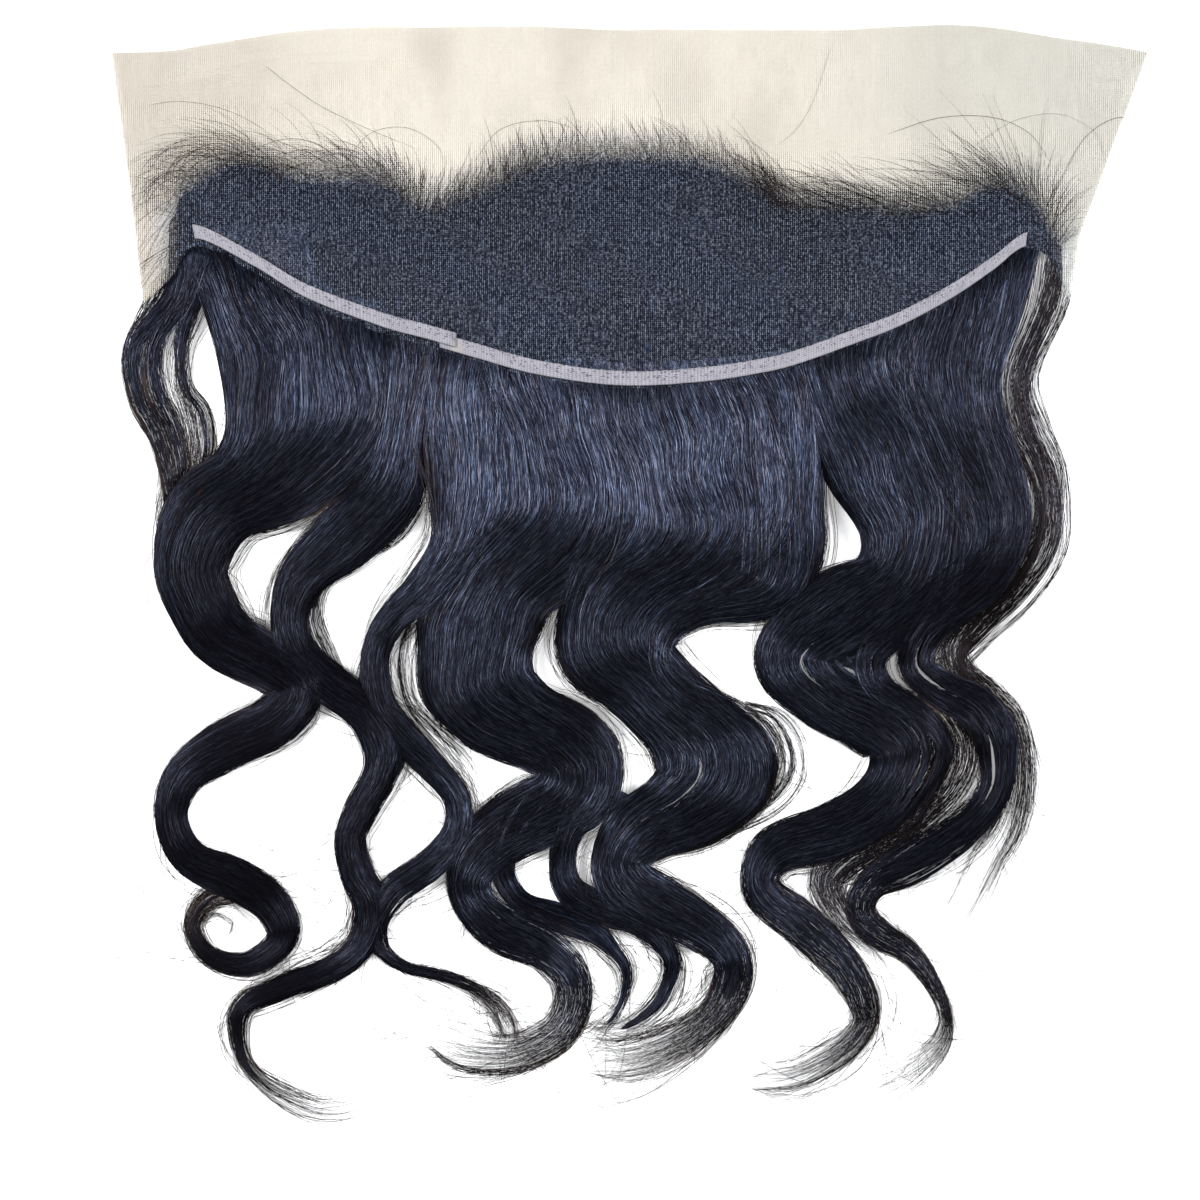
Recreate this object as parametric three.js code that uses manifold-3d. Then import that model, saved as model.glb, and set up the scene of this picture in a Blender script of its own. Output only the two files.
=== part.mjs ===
// Ear-to-ear lace frontal laid flat with its inner side up, body-wave locks falling towards -Y.
// +X runs to the right ear corner, +Y to the cut front edge of the lace, +Z up from the table.
import * as THREE from "three";
import Module from "manifold-3d";

const wasm = await Module();
wasm.setup();
const { Manifold, Mesh: SolidMesh } = wasm;

// Sizes in millimetres.
const LACE_HALF_WIDTH = 196.5; // middle of the lace to a front corner
const LACE_DEPTH = 134; // rear edge to cut front edge along the middle
const LACE_WALL = 1;
const HAIR_FALL = 280; // rear edge to the lowest tips
const LOCK_WIDTH = 40; // the width that the lock tables share out
const LOCK_HEIGHT = 13; // the thickest part of the fall
const BED_HEIGHT = 7.5; // knotted hair under the middle of the lace
const BED_EDGE = 0.9; // the same hair where it runs out
const BAND_WIDTH = 5.5;
const BAND_WALL = 1;
const BAND_ZONE = 8; // level strip of lace that carries the band
const RIGHT_BAND_HEM = 0.9; // rear edge of the lace to the right band
const LEFT_BAND_HEM = 2.6; // the left band sits a little further in
const GAP = 0.3; // between neighbouring pieces
const REAR_CLEAR = 0.8; // hair stands this far from the lace's rear edge
const FINEST = 0.06; // trimming details smaller than this are smoothed away
const REACH = LACE_HALF_WIDTH + LACE_DEPTH; // from the middle, past every edge of the part
const CEILING = 3 * LOCK_HEIGHT; // above every piece

// Shares and counts.
const STRIP_SHARE = 0.28; // part of the ventilated depth that belongs to the falls
const STRIP_START = 0.02; // where the falls' root strip begins in front of the rear edge
const BED_SHARES = [0.5, 0.75, 1]; // grid lines over the bed ahead of the strip
const FOLDS_FROM = 0.3; // shares of the loose lace between which its folds rise to full height
const FOLDS_FULL = 0.7;
const COLUMN_STEPS = 50; // grid columns from one ear corner to the other
const BED_START = 1; // rows of the lace table between which hair is knotted
const BED_END = 18;
const LEFT_BAND_START = 2;
const LEFT_BAND_END = 6.6;
const RIGHT_BAND_START = 6.3;
const RIGHT_BAND_END = 17;
const LAP_LEAD = 0.25; // rows before the right band where the left one is already raised
const BAND_STEPS_PER_ROW = 3;
const STATIONS_PER_ROW = 1.5; // lock sections for each row of its table
const SECTION_CORNERS = 8;
const WIDE_TURN = 0.5; // how much the sections of a wide lock are squared to the fall
const TUFT_BASE = 11; // width of a fringe tuft at the hairline
const TUFT_TIP = 2.5;
const TUFT_ROOT = 5; // how far a tuft reaches back into the bed

// Lace, a row per section from the left ear corner to the right one. Across is a share of
// LACE_HALF_WIDTH and up a share of LACE_DEPTH, each for the rear edge, the hairline and the
// front edge. Lift is the share of BED_HEIGHT that the hair below reaches.
// [rearAcross, rearUp, hairAcross, hairUp, frontAcross, frontUp, lift]
const LACE_ROWS = [
  [-0.94, 0.22, -0.96, 0.47, -1.0, 0.93, 0],
  [-0.88, 0.3, -0.89, 0.47, -0.89, 0.935, 0.2],
  [-0.835, 0.38, -0.86, 0.56, -0.82, 0.95, 0.35],
  [-0.72, 0.3, -0.755, 0.635, -0.73, 0.97, 0.6],
  [-0.62, 0.21, -0.64, 0.595, -0.63, 0.99, 0.8],
  [-0.48, 0.13, -0.485, 0.585, -0.485, 1.0, 0.95],
  [-0.395, 0.095, -0.395, 0.515, -0.395, 1.0, 1],
  [-0.29, 0.05, -0.28, 0.565, -0.29, 1.005, 1],
  [-0.175, 0.005, -0.175, 0.63, -0.175, 1.005, 1],
  [-0.02, -0.025, -0.02, 0.65, -0.02, 0.995, 1],
  [0.135, -0.015, 0.135, 0.635, 0.135, 0.995, 1],
  [0.25, 0.01, 0.26, 0.56, 0.25, 0.995, 1],
  [0.32, 0.035, 0.32, 0.515, 0.33, 0.995, 1],
  [0.425, 0.09, 0.415, 0.515, 0.425, 0.995, 1],
  [0.52, 0.145, 0.52, 0.5, 0.52, 1.005, 0.95],
  [0.62, 0.225, 0.62, 0.515, 0.62, 1.01, 0.8],
  [0.695, 0.3, 0.705, 0.575, 0.715, 1.0, 0.6],
  [0.76, 0.37, 0.775, 0.525, 0.83, 0.97, 0.4],
  [0.81, 0.335, 0.825, 0.415, 0.915, 0.95, 0.2],
  [0.85, 0.215, 0.865, 0.4, 1.0, 0.93, 0],
];

// Height of the hair bed along each column, rear edge to hairline: [share of depth, share of lift].
const BED_PROFILE = [
  [STRIP_SHARE, 1],
  [0.5, 0.95],
  [0.75, 0.8],
  [1, 0.42],
];

// Clearance below the lace in front of the hairline: [share of the extension, millimetres].
const FRONT_PROFILE = [
  [0.12, 1.5],
  [0.28, 1.4],
  [0.45, 0.5],
  [0.62, 0],
  [0.8, 0],
  [1, 0],
];

// Soft folds of the uncut lace: centre across as a share of LACE_HALF_WIDTH and up of LACE_DEPTH,
// half length and half width as shares of LACE_HALF_WIDTH, degrees from the across direction and
// height in millimetres.
// [across, up, length, width, degrees, height]
const LACE_FOLDS = [
  [-0.68, 0.91, 0.5, 0.09, 9, 4],
  [-0.15, 0.86, 0.3, 0.09, -4, 2.5],
  [0.07, 0.9, 0.16, 0.08, 88, 3],
  [0.42, 0.82, 0.24, 0.09, 68, 3],
  [0.93, 0.87, 0.18, 0.1, -30, 4],
];

// Short hair in front of the hairline: lace table position, length as a share of the
// extension and lean across as a share of LACE_HALF_WIDTH.
// [row, length, lean]
const FRINGE_ROWS = [
  [1.5, 0.2, -0.04],
  [2.2, 0.24, -0.03],
  [2.7, 0.26, 0.02],
  [3.2, 0.26, 0.03],
  [3.7, 0.22, 0.02],
  [4.3, 0.2, 0.02],
  [4.9, 0.2, 0.01],
  [5.5, 0.18, 0.02],
  [6.6, 0.18, -0.02],
  [7.3, 0.22, -0.02],
  [8.0, 0.24, -0.01],
  [8.6, 0.26, 0],
  [9.2, 0.26, 0],
  [9.8, 0.26, 0.01],
  [10.5, 0.24, 0.02],
  [11.2, 0.2, 0.02],
  [12.6, 0.16, 0],
  [13.6, 0.18, -0.01],
  [14.6, 0.2, 0],
  [15.5, 0.24, 0.01],
  [16.3, 0.26, 0.02],
  [17.1, 0.22, 0.04],
];

// Locks, a row per bend. Across is a share of LACE_HALF_WIDTH, down a share of HAIR_FALL,
// width a share of LOCK_WIDTH and height a share of LOCK_HEIGHT.
// [across, down, width, height]
const SIDE_WISP_LEFT = [
  [-0.84, -0.16, 0.42, 0.23],
  [-0.89, -0.08, 0.49, 0.23],
  [-0.91, -0.03, 0.51, 0.23],
  [-0.91, 0.03, 0.47, 0.19],
  [-0.9, 0.08, 0.29, 0.19],
  [-0.87, 0.14, 0.23, 0.19],
];
const OUTER_LEFT_LOCK = [
  [-0.66, -0.2, 1.81, 0.62],
  [-0.63, -0.08, 1.71, 0.69],
  [-0.62, 0.01, 1.61, 0.85],
  [-0.63, 0.08, 1.52, 0.92],
  [-0.69, 0.13, 1.23, 0.92],
  [-0.8, 0.18, 0.91, 0.92],
  [-0.84, 0.24, 0.72, 0.85],
  [-0.83, 0.3, 0.65, 0.77],
  [-0.78, 0.35, 0.61, 0.69],
  [-0.68, 0.39, 0.55, 0.69],
  [-0.64, 0.42, 0.46, 0.69],
  [-0.68, 0.46, 0.49, 0.69],
  [-0.78, 0.5, 0.47, 0.62],
  [-0.86, 0.54, 0.36, 0.62],
  [-0.88, 0.59, 0.29, 0.54],
  [-0.85, 0.64, 0.34, 0.54],
  [-0.76, 0.68, 0.4, 0.54],
  [-0.69, 0.71, 0.34, 0.54],
  [-0.67, 0.76, 0.26, 0.46],
  [-0.74, 0.79, 0.23, 0.38],
  [-0.81, 0.78, 0.17, 0.31],
  [-0.84, 0.74, 0.11, 0.23],
  [-0.82, 0.7, 0.08, 0.15],
];
const INNER_LEFT_LOCK = [
  [-0.37, -0.12, 0.67, 0.62],
  [-0.38, -0.04, 0.61, 0.69],
  [-0.38, 0.03, 0.63, 0.77],
  [-0.4, 0.09, 0.7, 0.85],
  [-0.45, 0.16, 0.7, 0.85],
  [-0.55, 0.22, 0.65, 0.85],
  [-0.63, 0.27, 0.47, 0.77],
  [-0.65, 0.32, 0.34, 0.69],
  [-0.63, 0.37, 0.36, 0.69],
  [-0.57, 0.42, 0.4, 0.69],
  [-0.51, 0.45, 0.38, 0.69],
  [-0.48, 0.49, 0.42, 0.62],
  [-0.48, 0.53, 0.32, 0.62],
  [-0.51, 0.58, 0.31, 0.54],
  [-0.54, 0.62, 0.29, 0.54],
  [-0.53, 0.67, 0.32, 0.54],
  [-0.5, 0.71, 0.34, 0.46],
  [-0.51, 0.76, 0.28, 0.46],
  [-0.57, 0.8, 0.24, 0.38],
  [-0.67, 0.82, 0.22, 0.38],
  [-0.74, 0.85, 0.18, 0.38],
  [-0.76, 0.89, 0.15, 0.31],
  [-0.74, 0.93, 0.12, 0.31],
  [-0.69, 0.96, 0.1, 0.23],
];
const PARTED_LOCK = [
  [-0.28, -0.11, 0.72, 0.62],
  [-0.28, -0.01, 0.72, 0.69],
  [-0.29, 0.07, 0.72, 0.85],
  [-0.31, 0.16, 0.72, 0.85],
  [-0.34, 0.23, 0.51, 0.77],
  [-0.39, 0.28, 0.38, 0.69],
  [-0.46, 0.32, 0.3, 0.62],
  [-0.49, 0.37, 0.27, 0.62],
  [-0.49, 0.43, 0.32, 0.62],
  [-0.44, 0.48, 0.32, 0.54],
  [-0.38, 0.53, 0.27, 0.54],
  [-0.33, 0.57, 0.24, 0.46],
  [-0.34, 0.61, 0.26, 0.46],
  [-0.39, 0.65, 0.29, 0.46],
  [-0.46, 0.69, 0.29, 0.46],
  [-0.49, 0.73, 0.25, 0.38],
  [-0.48, 0.77, 0.17, 0.31],
];
const CENTRE_LEFT_LOCK = [
  [-0.12, -0.11, 0.87, 0.62],
  [-0.12, 0.01, 0.87, 0.77],
  [-0.13, 0.09, 0.91, 1.0],
  [-0.16, 0.18, 1.1, 1.0],
  [-0.21, 0.26, 1.27, 0.92],
  [-0.27, 0.32, 1.2, 0.85],
  [-0.3, 0.36, 1.16, 0.77],
  [-0.29, 0.41, 1.2, 0.77],
  [-0.22, 0.45, 1.22, 0.77],
  [-0.14, 0.49, 0.91, 0.69],
  [-0.09, 0.53, 0.82, 0.69],
  [-0.12, 0.56, 0.8, 0.62],
  [-0.21, 0.6, 0.7, 0.62],
  [-0.28, 0.64, 0.57, 0.54],
  [-0.31, 0.68, 0.42, 0.54],
  [-0.3, 0.71, 0.42, 0.46],
  [-0.24, 0.74, 0.47, 0.46],
  [-0.16, 0.77, 0.42, 0.46],
  [-0.12, 0.81, 0.36, 0.38],
  [-0.11, 0.84, 0.32, 0.38],
  [-0.14, 0.88, 0.27, 0.31],
  [-0.21, 0.91, 0.15, 0.23],
];
const THIN_CENTRE_LOCK = [
  [-0.25, 0.62, 0.25, 0.38],
  [-0.24, 0.67, 0.21, 0.38],
  [-0.21, 0.7, 0.21, 0.38],
  [-0.14, 0.73, 0.27, 0.38],
  [-0.07, 0.74, 0.25, 0.31],
  [-0.03, 0.77, 0.17, 0.31],
  [-0.01, 0.8, 0.13, 0.31],
  [-0.01, 0.83, 0.11, 0.23],
  [-0.03, 0.86, 0.1, 0.23],
];
const CURLED_CENTRE_LOCK = [
  [-0.05, 0.55, 0.67, 0.54],
  [-0.11, 0.6, 0.32, 0.46],
  [-0.13, 0.64, 0.25, 0.46],
  [-0.12, 0.68, 0.29, 0.46],
  [-0.07, 0.71, 0.3, 0.46],
  [0.0, 0.73, 0.29, 0.38],
  [0.06, 0.75, 0.25, 0.38],
  [0.08, 0.78, 0.19, 0.38],
  [0.07, 0.82, 0.17, 0.31],
  [0.05, 0.85, 0.19, 0.31],
  [-0.01, 0.87, 0.13, 0.23],
];
const CENTRE_RIGHT_LOCK = [
  [0.15, -0.11, 1.81, 0.62],
  [0.15, 0.01, 1.81, 0.85],
  [0.15, 0.09, 1.86, 1.0],
  [0.13, 0.18, 1.9, 1.0],
  [0.09, 0.24, 1.67, 0.92],
  [0.02, 0.3, 1.43, 0.85],
  [-0.03, 0.35, 1.25, 0.77],
  [-0.03, 0.39, 1.22, 0.77],
  [0.02, 0.42, 1.25, 0.77],
  [0.1, 0.45, 1.27, 0.69],
  [0.16, 0.5, 1.18, 0.69],
  [0.16, 0.54, 1.12, 0.69],
  [0.11, 0.58, 0.93, 0.62],
  [0.03, 0.61, 0.72, 0.62],
  [-0.02, 0.64, 0.53, 0.54],
  [-0.01, 0.68, 0.57, 0.54],
  [0.06, 0.71, 0.53, 0.46],
  [0.15, 0.74, 0.44, 0.46],
  [0.19, 0.78, 0.36, 0.46],
  [0.2, 0.82, 0.36, 0.38],
  [0.17, 0.86, 0.32, 0.38],
  [0.12, 0.89, 0.21, 0.31],
  [0.04, 0.91, 0.11, 0.23],
];
const CENTRE_EDGE_LOCK = [
  [0.29, -0.11, 0.67, 0.62],
  [0.29, -0.01, 0.72, 0.77],
  [0.29, 0.07, 0.76, 0.92],
  [0.28, 0.16, 0.8, 0.92],
  [0.27, 0.24, 0.8, 0.85],
  [0.26, 0.31, 0.67, 0.69],
];
const INNER_RIGHT_LOCK = [
  [0.43, -0.12, 1.14, 0.62],
  [0.44, -0.04, 1.14, 0.77],
  [0.46, 0.04, 1.23, 0.92],
  [0.5, 0.12, 1.29, 0.92],
  [0.54, 0.2, 0.99, 0.92],
  [0.53, 0.26, 0.95, 0.85],
  [0.45, 0.31, 0.95, 0.77],
  [0.34, 0.36, 0.87, 0.77],
  [0.33, 0.39, 0.82, 0.69],
  [0.38, 0.43, 0.72, 0.69],
  [0.47, 0.46, 0.8, 0.69],
  [0.53, 0.49, 0.78, 0.69],
  [0.52, 0.53, 0.63, 0.62],
  [0.48, 0.57, 0.59, 0.62],
  [0.39, 0.61, 0.57, 0.54],
  [0.29, 0.64, 0.47, 0.54],
  [0.25, 0.67, 0.36, 0.54],
  [0.26, 0.7, 0.4, 0.54],
  [0.32, 0.73, 0.42, 0.46],
  [0.37, 0.77, 0.4, 0.46],
  [0.41, 0.8, 0.32, 0.38],
  [0.44, 0.83, 0.21, 0.31],
  [0.44, 0.87, 0.14, 0.23],
  [0.41, 0.9, 0.09, 0.15],
];
const MIDDLE_RIGHT_LOCK = [
  [0.58, -0.16, 0.86, 0.62],
  [0.6, -0.06, 0.86, 0.69],
  [0.61, 0.03, 0.91, 0.85],
  [0.65, 0.12, 0.91, 0.92],
  [0.69, 0.2, 0.63, 0.92],
  [0.67, 0.26, 0.59, 0.85],
  [0.58, 0.31, 0.59, 0.77],
  [0.5, 0.35, 0.4, 0.69],
  [0.47, 0.38, 0.32, 0.62],
  [0.5, 0.42, 0.42, 0.62],
  [0.58, 0.45, 0.46, 0.62],
  [0.62, 0.49, 0.38, 0.54],
  [0.59, 0.53, 0.29, 0.54],
  [0.56, 0.57, 0.27, 0.46],
  [0.52, 0.61, 0.3, 0.46],
  [0.44, 0.64, 0.36, 0.38],
  [0.37, 0.65, 0.21, 0.31],
];
const OUTER_RIGHT_LOCK = [
  [0.72, -0.2, 0.72, 0.54],
  [0.71, -0.1, 0.57, 0.62],
  [0.7, 0.01, 0.53, 0.69],
  [0.72, 0.12, 0.49, 0.77],
  [0.72, 0.2, 0.46, 0.77],
  [0.68, 0.26, 0.47, 0.69],
  [0.62, 0.31, 0.46, 0.69],
  [0.55, 0.35, 0.32, 0.62],
  [0.55, 0.39, 0.32, 0.62],
  [0.59, 0.41, 0.4, 0.62],
  [0.66, 0.44, 0.44, 0.62],
  [0.7, 0.47, 0.44, 0.62],
  [0.72, 0.51, 0.44, 0.54],
  [0.7, 0.55, 0.3, 0.54],
  [0.68, 0.59, 0.32, 0.46],
  [0.62, 0.62, 0.38, 0.46],
  [0.53, 0.65, 0.42, 0.46],
  [0.46, 0.69, 0.23, 0.38],
  [0.45, 0.72, 0.12, 0.31],
  [0.47, 0.75, 0.17, 0.31],
  [0.52, 0.77, 0.19, 0.31],
  [0.55, 0.81, 0.12, 0.23],
  [0.57, 0.85, 0.09, 0.23],
];
const SIDE_WISP_RIGHT = [
  [0.79, -0.16, 0.29, 0.23],
  [0.78, -0.08, 0.23, 0.23],
  [0.75, -0.01, 0.23, 0.23],
  [0.74, 0.06, 0.23, 0.23],
  [0.78, 0.11, 0.17, 0.23],
  [0.79, 0.16, 0.11, 0.19],
  [0.77, 0.22, 0.1, 0.19],
  [0.73, 0.28, 0.11, 0.19],
  [0.65, 0.32, 0.11, 0.19],
];

// The two partings of the fall, a row per bend: [across, down].
const LEFT_PARTING = [
  [-0.21, -0.6],
  [-0.21, -0.01],
  [-0.21, 0.18],
  [-0.24, 0.23],
  [-0.31, 0.27],
  [-0.39, 0.31],
  [-0.44, 0.35],
  [-0.44, 0.42],
  [-0.4, 0.47],
  [-0.31, 0.5],
  [-0.25, 0.53],
  [-0.29, 0.57],
  [-0.3, 0.61],
  [-0.33, 0.65],
  [-0.37, 0.68],
  [-0.4, 0.7],
  [-0.41, 0.77],
  [-0.37, 0.84],
  [-0.35, 1.1],
];
const RIGHT_PARTING = [
  [0.33, -0.6],
  [0.33, 0.03],
  [0.34, 0.13],
  [0.39, 0.18],
  [0.4, 0.24],
  [0.37, 0.29],
  [0.27, 0.31],
  [0.2, 0.34],
  [0.18, 0.38],
  [0.18, 0.41],
  [0.25, 0.43],
  [0.32, 0.45],
  [0.36, 0.51],
  [0.35, 0.57],
  [0.29, 0.6],
  [0.16, 0.61],
  [0.14, 0.66],
  [0.2, 0.71],
  [0.25, 0.77],
  [0.29, 0.83],
  [0.31, 1.1],
];

const HAIR_LOOK = { color: 0x17171c, roughness: 0.45 };
const LACE_LOOK = { color: 0xeee9dd, roughness: 0.9 };
const BAND_LOOK = { color: 0xb0aab3, roughness: 0.85 };

// Straight-line reading of a two-column table at position at.
function reading(table, at) {
  const last = table.length - 1;
  if (at <= table[0][0]) return table[0][1];
  for (let i = 0; i < last; i++) {
    const [x0, y0] = table[i];
    const [x1, y1] = table[i + 1];
    if (at <= x1) return THREE.MathUtils.mapLinear(at, x0, x1, y0, y1);
  }
  return table[last][1];
}

const laceCurve = (column) =>
  new THREE.CatmullRomCurve3(
    LACE_ROWS.map((row) => {
      return new THREE.Vector3(row[column] * LACE_HALF_WIDTH, row[column + 1] * LACE_DEPTH, 0);
    }),
    false,
    "catmullrom",
  );
const REAR_EDGE = laceCurve(0);
const HAIRLINE = laceCurve(2);
const FRONT_EDGE = laceCurve(4);
const LAST_ROW = LACE_ROWS.length - 1;
const LIFTS = LACE_ROWS.map((row, index) => [index, row[6]]);

// One column of the lace at a table position: its three edge points and its lift.
function laceColumn(row) {
  const at = row / LAST_ROW;
  const rear = REAR_EDGE.getPoint(at);
  const hair = HAIRLINE.getPoint(at);
  return {
    rear,
    hair,
    front: FRONT_EDGE.getPoint(at),
    depth: rear.distanceTo(hair),
    lift: reading(LIFTS, row),
    cover: Math.min(1, row / BED_START, (LAST_ROW - row) / (LAST_ROW - BED_END)),
  };
}

// Top of the hair bed at a share of a column's depth.
const bedTop = (column, share) =>
  BED_EDGE + (BED_HEIGHT - BED_EDGE) * column.lift * reading(BED_PROFILE, share);

// How high the folds of the loose lace stand at a point.
function foldHeight(point) {
  return LACE_FOLDS.reduce((sum, [across, up, length, width, degrees, height]) => {
    const angle = THREE.MathUtils.degToRad(degrees);
    const dx = point.x - across * LACE_HALF_WIDTH;
    const dy = point.y - up * LACE_DEPTH;
    const along = (dx * Math.cos(angle) + dy * Math.sin(angle)) / (length * LACE_HALF_WIDTH);
    const aside = (dy * Math.cos(angle) - dx * Math.sin(angle)) / (width * LACE_HALF_WIDTH);
    return sum + height * Math.max(0, 1 - along * along - aside * aside) ** 2;
  }, 0);
}

// Points of the lace underside down one column, from the rear edge to the front edge.
function laceUnderside(column) {
  const overBed = [0, BAND_ZONE / column.depth, STRIP_SHARE, ...BED_SHARES].sort((a, b) => a - b);
  const points = overBed.map((share) => {
    const point = column.rear.clone().lerp(column.hair, share);
    return point.setZ((bedTop(column, share) + GAP) * column.cover);
  });
  for (const [share, clear] of FRONT_PROFILE) {
    const point = column.hair.clone().lerp(column.front, share);
    const loose = THREE.MathUtils.smoothstep(share, FOLDS_FROM, FOLDS_FULL);
    points.push(point.setZ(clear * column.cover + foldHeight(point) * loose));
  }
  return points;
}

function solidFrom(positions, triangles) {
  const mesh = new SolidMesh({
    numProp: 3,
    vertProperties: new Float32Array(positions),
    triVerts: new Uint32Array(triangles),
  });
  return new Manifold(mesh);
}

// Closed slab between two grids of points, columns running to +X and lines to +Y.
function slab(bottom, top) {
  const columns = top.length;
  const lines = top[0].length;
  const positions = [...bottom.flat(), ...top.flat()].flatMap((p) => [p.x, p.y, p.z]);
  const under = (i, j) => i * lines + j;
  const over = (i, j) => columns * lines + under(i, j);
  const triangles = [];
  const quad = (a, b, c, d) => triangles.push(a, b, c, a, c, d);
  for (let i = 0; i < columns - 1; i++) {
    for (let j = 0; j < lines - 1; j++) {
      quad(over(i, j), over(i + 1, j), over(i + 1, j + 1), over(i, j + 1));
      quad(under(i, j), under(i, j + 1), under(i + 1, j + 1), under(i + 1, j));
    }
    quad(under(i, 0), under(i + 1, 0), over(i + 1, 0), over(i, 0));
    quad(under(i + 1, lines - 1), under(i, lines - 1), over(i, lines - 1), over(i + 1, lines - 1));
  }
  for (let j = 0; j < lines - 1; j++) {
    quad(under(0, j + 1), under(0, j), over(0, j), over(0, j + 1));
    quad(under(columns - 1, j), under(columns - 1, j + 1), over(columns - 1, j + 1), over(columns - 1, j));
  }
  return solidFrom(positions, triangles);
}

const raised = (grid, height) => grid.map((line) => line.map((p) => p.clone().setZ(p.z + height)));
const levelled = (grid, height) => grid.map((line) => line.map((p) => p.clone().setZ(height)));

// Lace table positions from one row to another at the spacing of the lace grid.
function rowsBetween(start, end) {
  const steps = Math.ceil((end - start) * (COLUMN_STEPS / LAST_ROW));
  return Array.from({ length: steps + 1 }, (_, i) => THREE.MathUtils.lerp(start, end, i / steps));
}

function laceSheet() {
  const underside = rowsBetween(0, LAST_ROW).map((row) => laceUnderside(laceColumn(row)));
  return slab(underside, raised(underside, LACE_WALL));
}

// Slab of hair under the lace between two shares of the ventilated depth.
function hairSlab(shares, start = BED_START, end = BED_END) {
  const top = rowsBetween(start, end).map((row) => {
    const column = laceColumn(row);
    return shares(column).map((share) => {
      return column.rear.clone().lerp(column.hair, share).setZ(bedTop(column, share));
    });
  });
  return slab(levelled(top, 0), top);
}

// One tuft of the fringe, a flat wedge rooted in the bed.
function fringeTuft([row, length, lean]) {
  const column = laceColumn(row);
  const ahead = column.front.clone().sub(column.hair);
  const tip = column.hair.clone().addScaledVector(ahead, length);
  tip.x += lean * LACE_HALF_WIDTH;
  const root = column.hair.clone().addScaledVector(ahead.normalize(), -TUFT_ROOT);
  const across = new THREE.Vector3(ahead.y, -ahead.x, 0);
  const corners = [];
  for (const [point, width, height] of [
    [root, TUFT_BASE, BED_EDGE],
    [column.hair, TUFT_BASE, BED_EDGE],
    [tip, TUFT_TIP, BED_EDGE / 2],
  ]) {
    for (const side of [-0.5, 0.5]) {
      const corner = point.clone().addScaledVector(across, side * width);
      corners.push([corner.x, corner.y, 0], [corner.x, corner.y, height]);
    }
  }
  return Manifold.hull(corners);
}

function hairBed() {
  const shares = (column) => [STRIP_SHARE + GAP / column.depth, ...BED_SHARES];
  return Manifold.union([hairSlab(shares), ...FRINGE_ROWS.map(fringeTuft)]).simplify(FINEST);
}

// Flattened section of a lock, lying on the table across its path.
function lockSection(point, heading, width, height) {
  const across = new THREE.Vector3(heading.y, -heading.x, 0).normalize();
  const flat = Math.cos(Math.PI / SECTION_CORNERS);
  return Array.from({ length: SECTION_CORNERS }, (_, i) => {
    const angle = ((i + 0.5) / SECTION_CORNERS) * 2 * Math.PI;
    const aside = (Math.cos(angle) / flat) * (width / 2);
    const up = (1 + Math.sin(angle) / flat) * (height / 2);
    return [point.x + across.x * aside, point.y + across.y * aside, up];
  });
}

// Solid of a lock along the smooth path through its table.
function lock(rows) {
  const path = new THREE.CatmullRomCurve3(
    rows.map(([across, down]) => new THREE.Vector3(across * LACE_HALF_WIDTH, -down * HAIR_FALL, 0)),
    false,
    "catmullrom",
  );
  const sizes = new THREE.CatmullRomCurve3(
    rows.map(([, , width, height]) => {
      return new THREE.Vector3(width * LOCK_WIDTH, height * LOCK_HEIGHT, 0);
    }),
    false,
    "catmullrom",
  );
  const steps = Math.ceil((rows.length - 1) * STATIONS_PER_ROW);
  const down = new THREE.Vector3(0, -1, 0);
  const sections = Array.from({ length: steps + 1 }, (_, i) => {
    const size = sizes.getPoint(i / steps);
    const squared = Math.min(1, (WIDE_TURN * size.x) / LOCK_WIDTH);
    const heading = path.getTangent(i / steps).lerp(down, squared);
    return lockSection(path.getPoint(i / steps), heading, size.x, size.y);
  });
  const stretches = sections.slice(1).map((section, i) => {
    return Manifold.hull([...sections[i], ...section]);
  });
  return Manifold.union(stretches);
}

// Everything to one side of a parting, from below the table to above the hair.
function sideOfParting(rows, side) {
  const edge = rows.map(([across, down]) => {
    return [across * LACE_HALF_WIDTH + (side * GAP) / 2, -down * HAIR_FALL];
  });
  const outline = [
    [side * REACH, edge[0][1]],
    ...edge,
    [side * REACH, edge[edge.length - 1][1]],
  ];
  if (side < 0) outline.reverse();
  return Manifold.extrude([outline], 2 * CEILING).translate(0, 0, -CEILING);
}

// The space that the lace and the hair bed take: over the falls' roots and all in front of them.
function spaceAbove() {
  const top = rowsBetween(0, LAST_ROW).map((row) => {
    const column = laceColumn(row);
    return [-REAR_CLEAR / column.depth, BAND_ZONE / column.depth, STRIP_SHARE].map((share) => {
      const under = bedTop(column, share) * column.cover;
      return column.rear.clone().lerp(column.hair, share).setZ(under);
    });
  });
  return slab(top, levelled(top, CEILING));
}
function spaceAhead() {
  const ground = rowsBetween(0, LAST_ROW).map((row) => {
    const column = laceColumn(row);
    return [column.rear.clone().lerp(column.hair, STRIP_SHARE), column.front];
  });
  return slab(levelled(ground, -CEILING), levelled(ground, CEILING));
}

// The largest body of a solid, without the crumbs that trimming leaves.
function mainBody(solid) {
  return solid.decompose().reduce((best, body) => (body.volume() > best.volume() ? body : best));
}

// One part of the fall: its locks and its share of the root strip, kept to its side of the partings.
function hairFall(tables, regions) {
  const strip = hairSlab((column) => [STRIP_START, STRIP_SHARE - GAP / column.depth]);
  let hair = Manifold.union(tables.map(lock));
  hair = hair.subtract(spaceAbove()).subtract(spaceAhead());
  hair = hair.add(strip);
  for (const region of regions) hair = hair.intersect(region);
  return mainBody(hair.simplify(FINEST));
}

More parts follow.
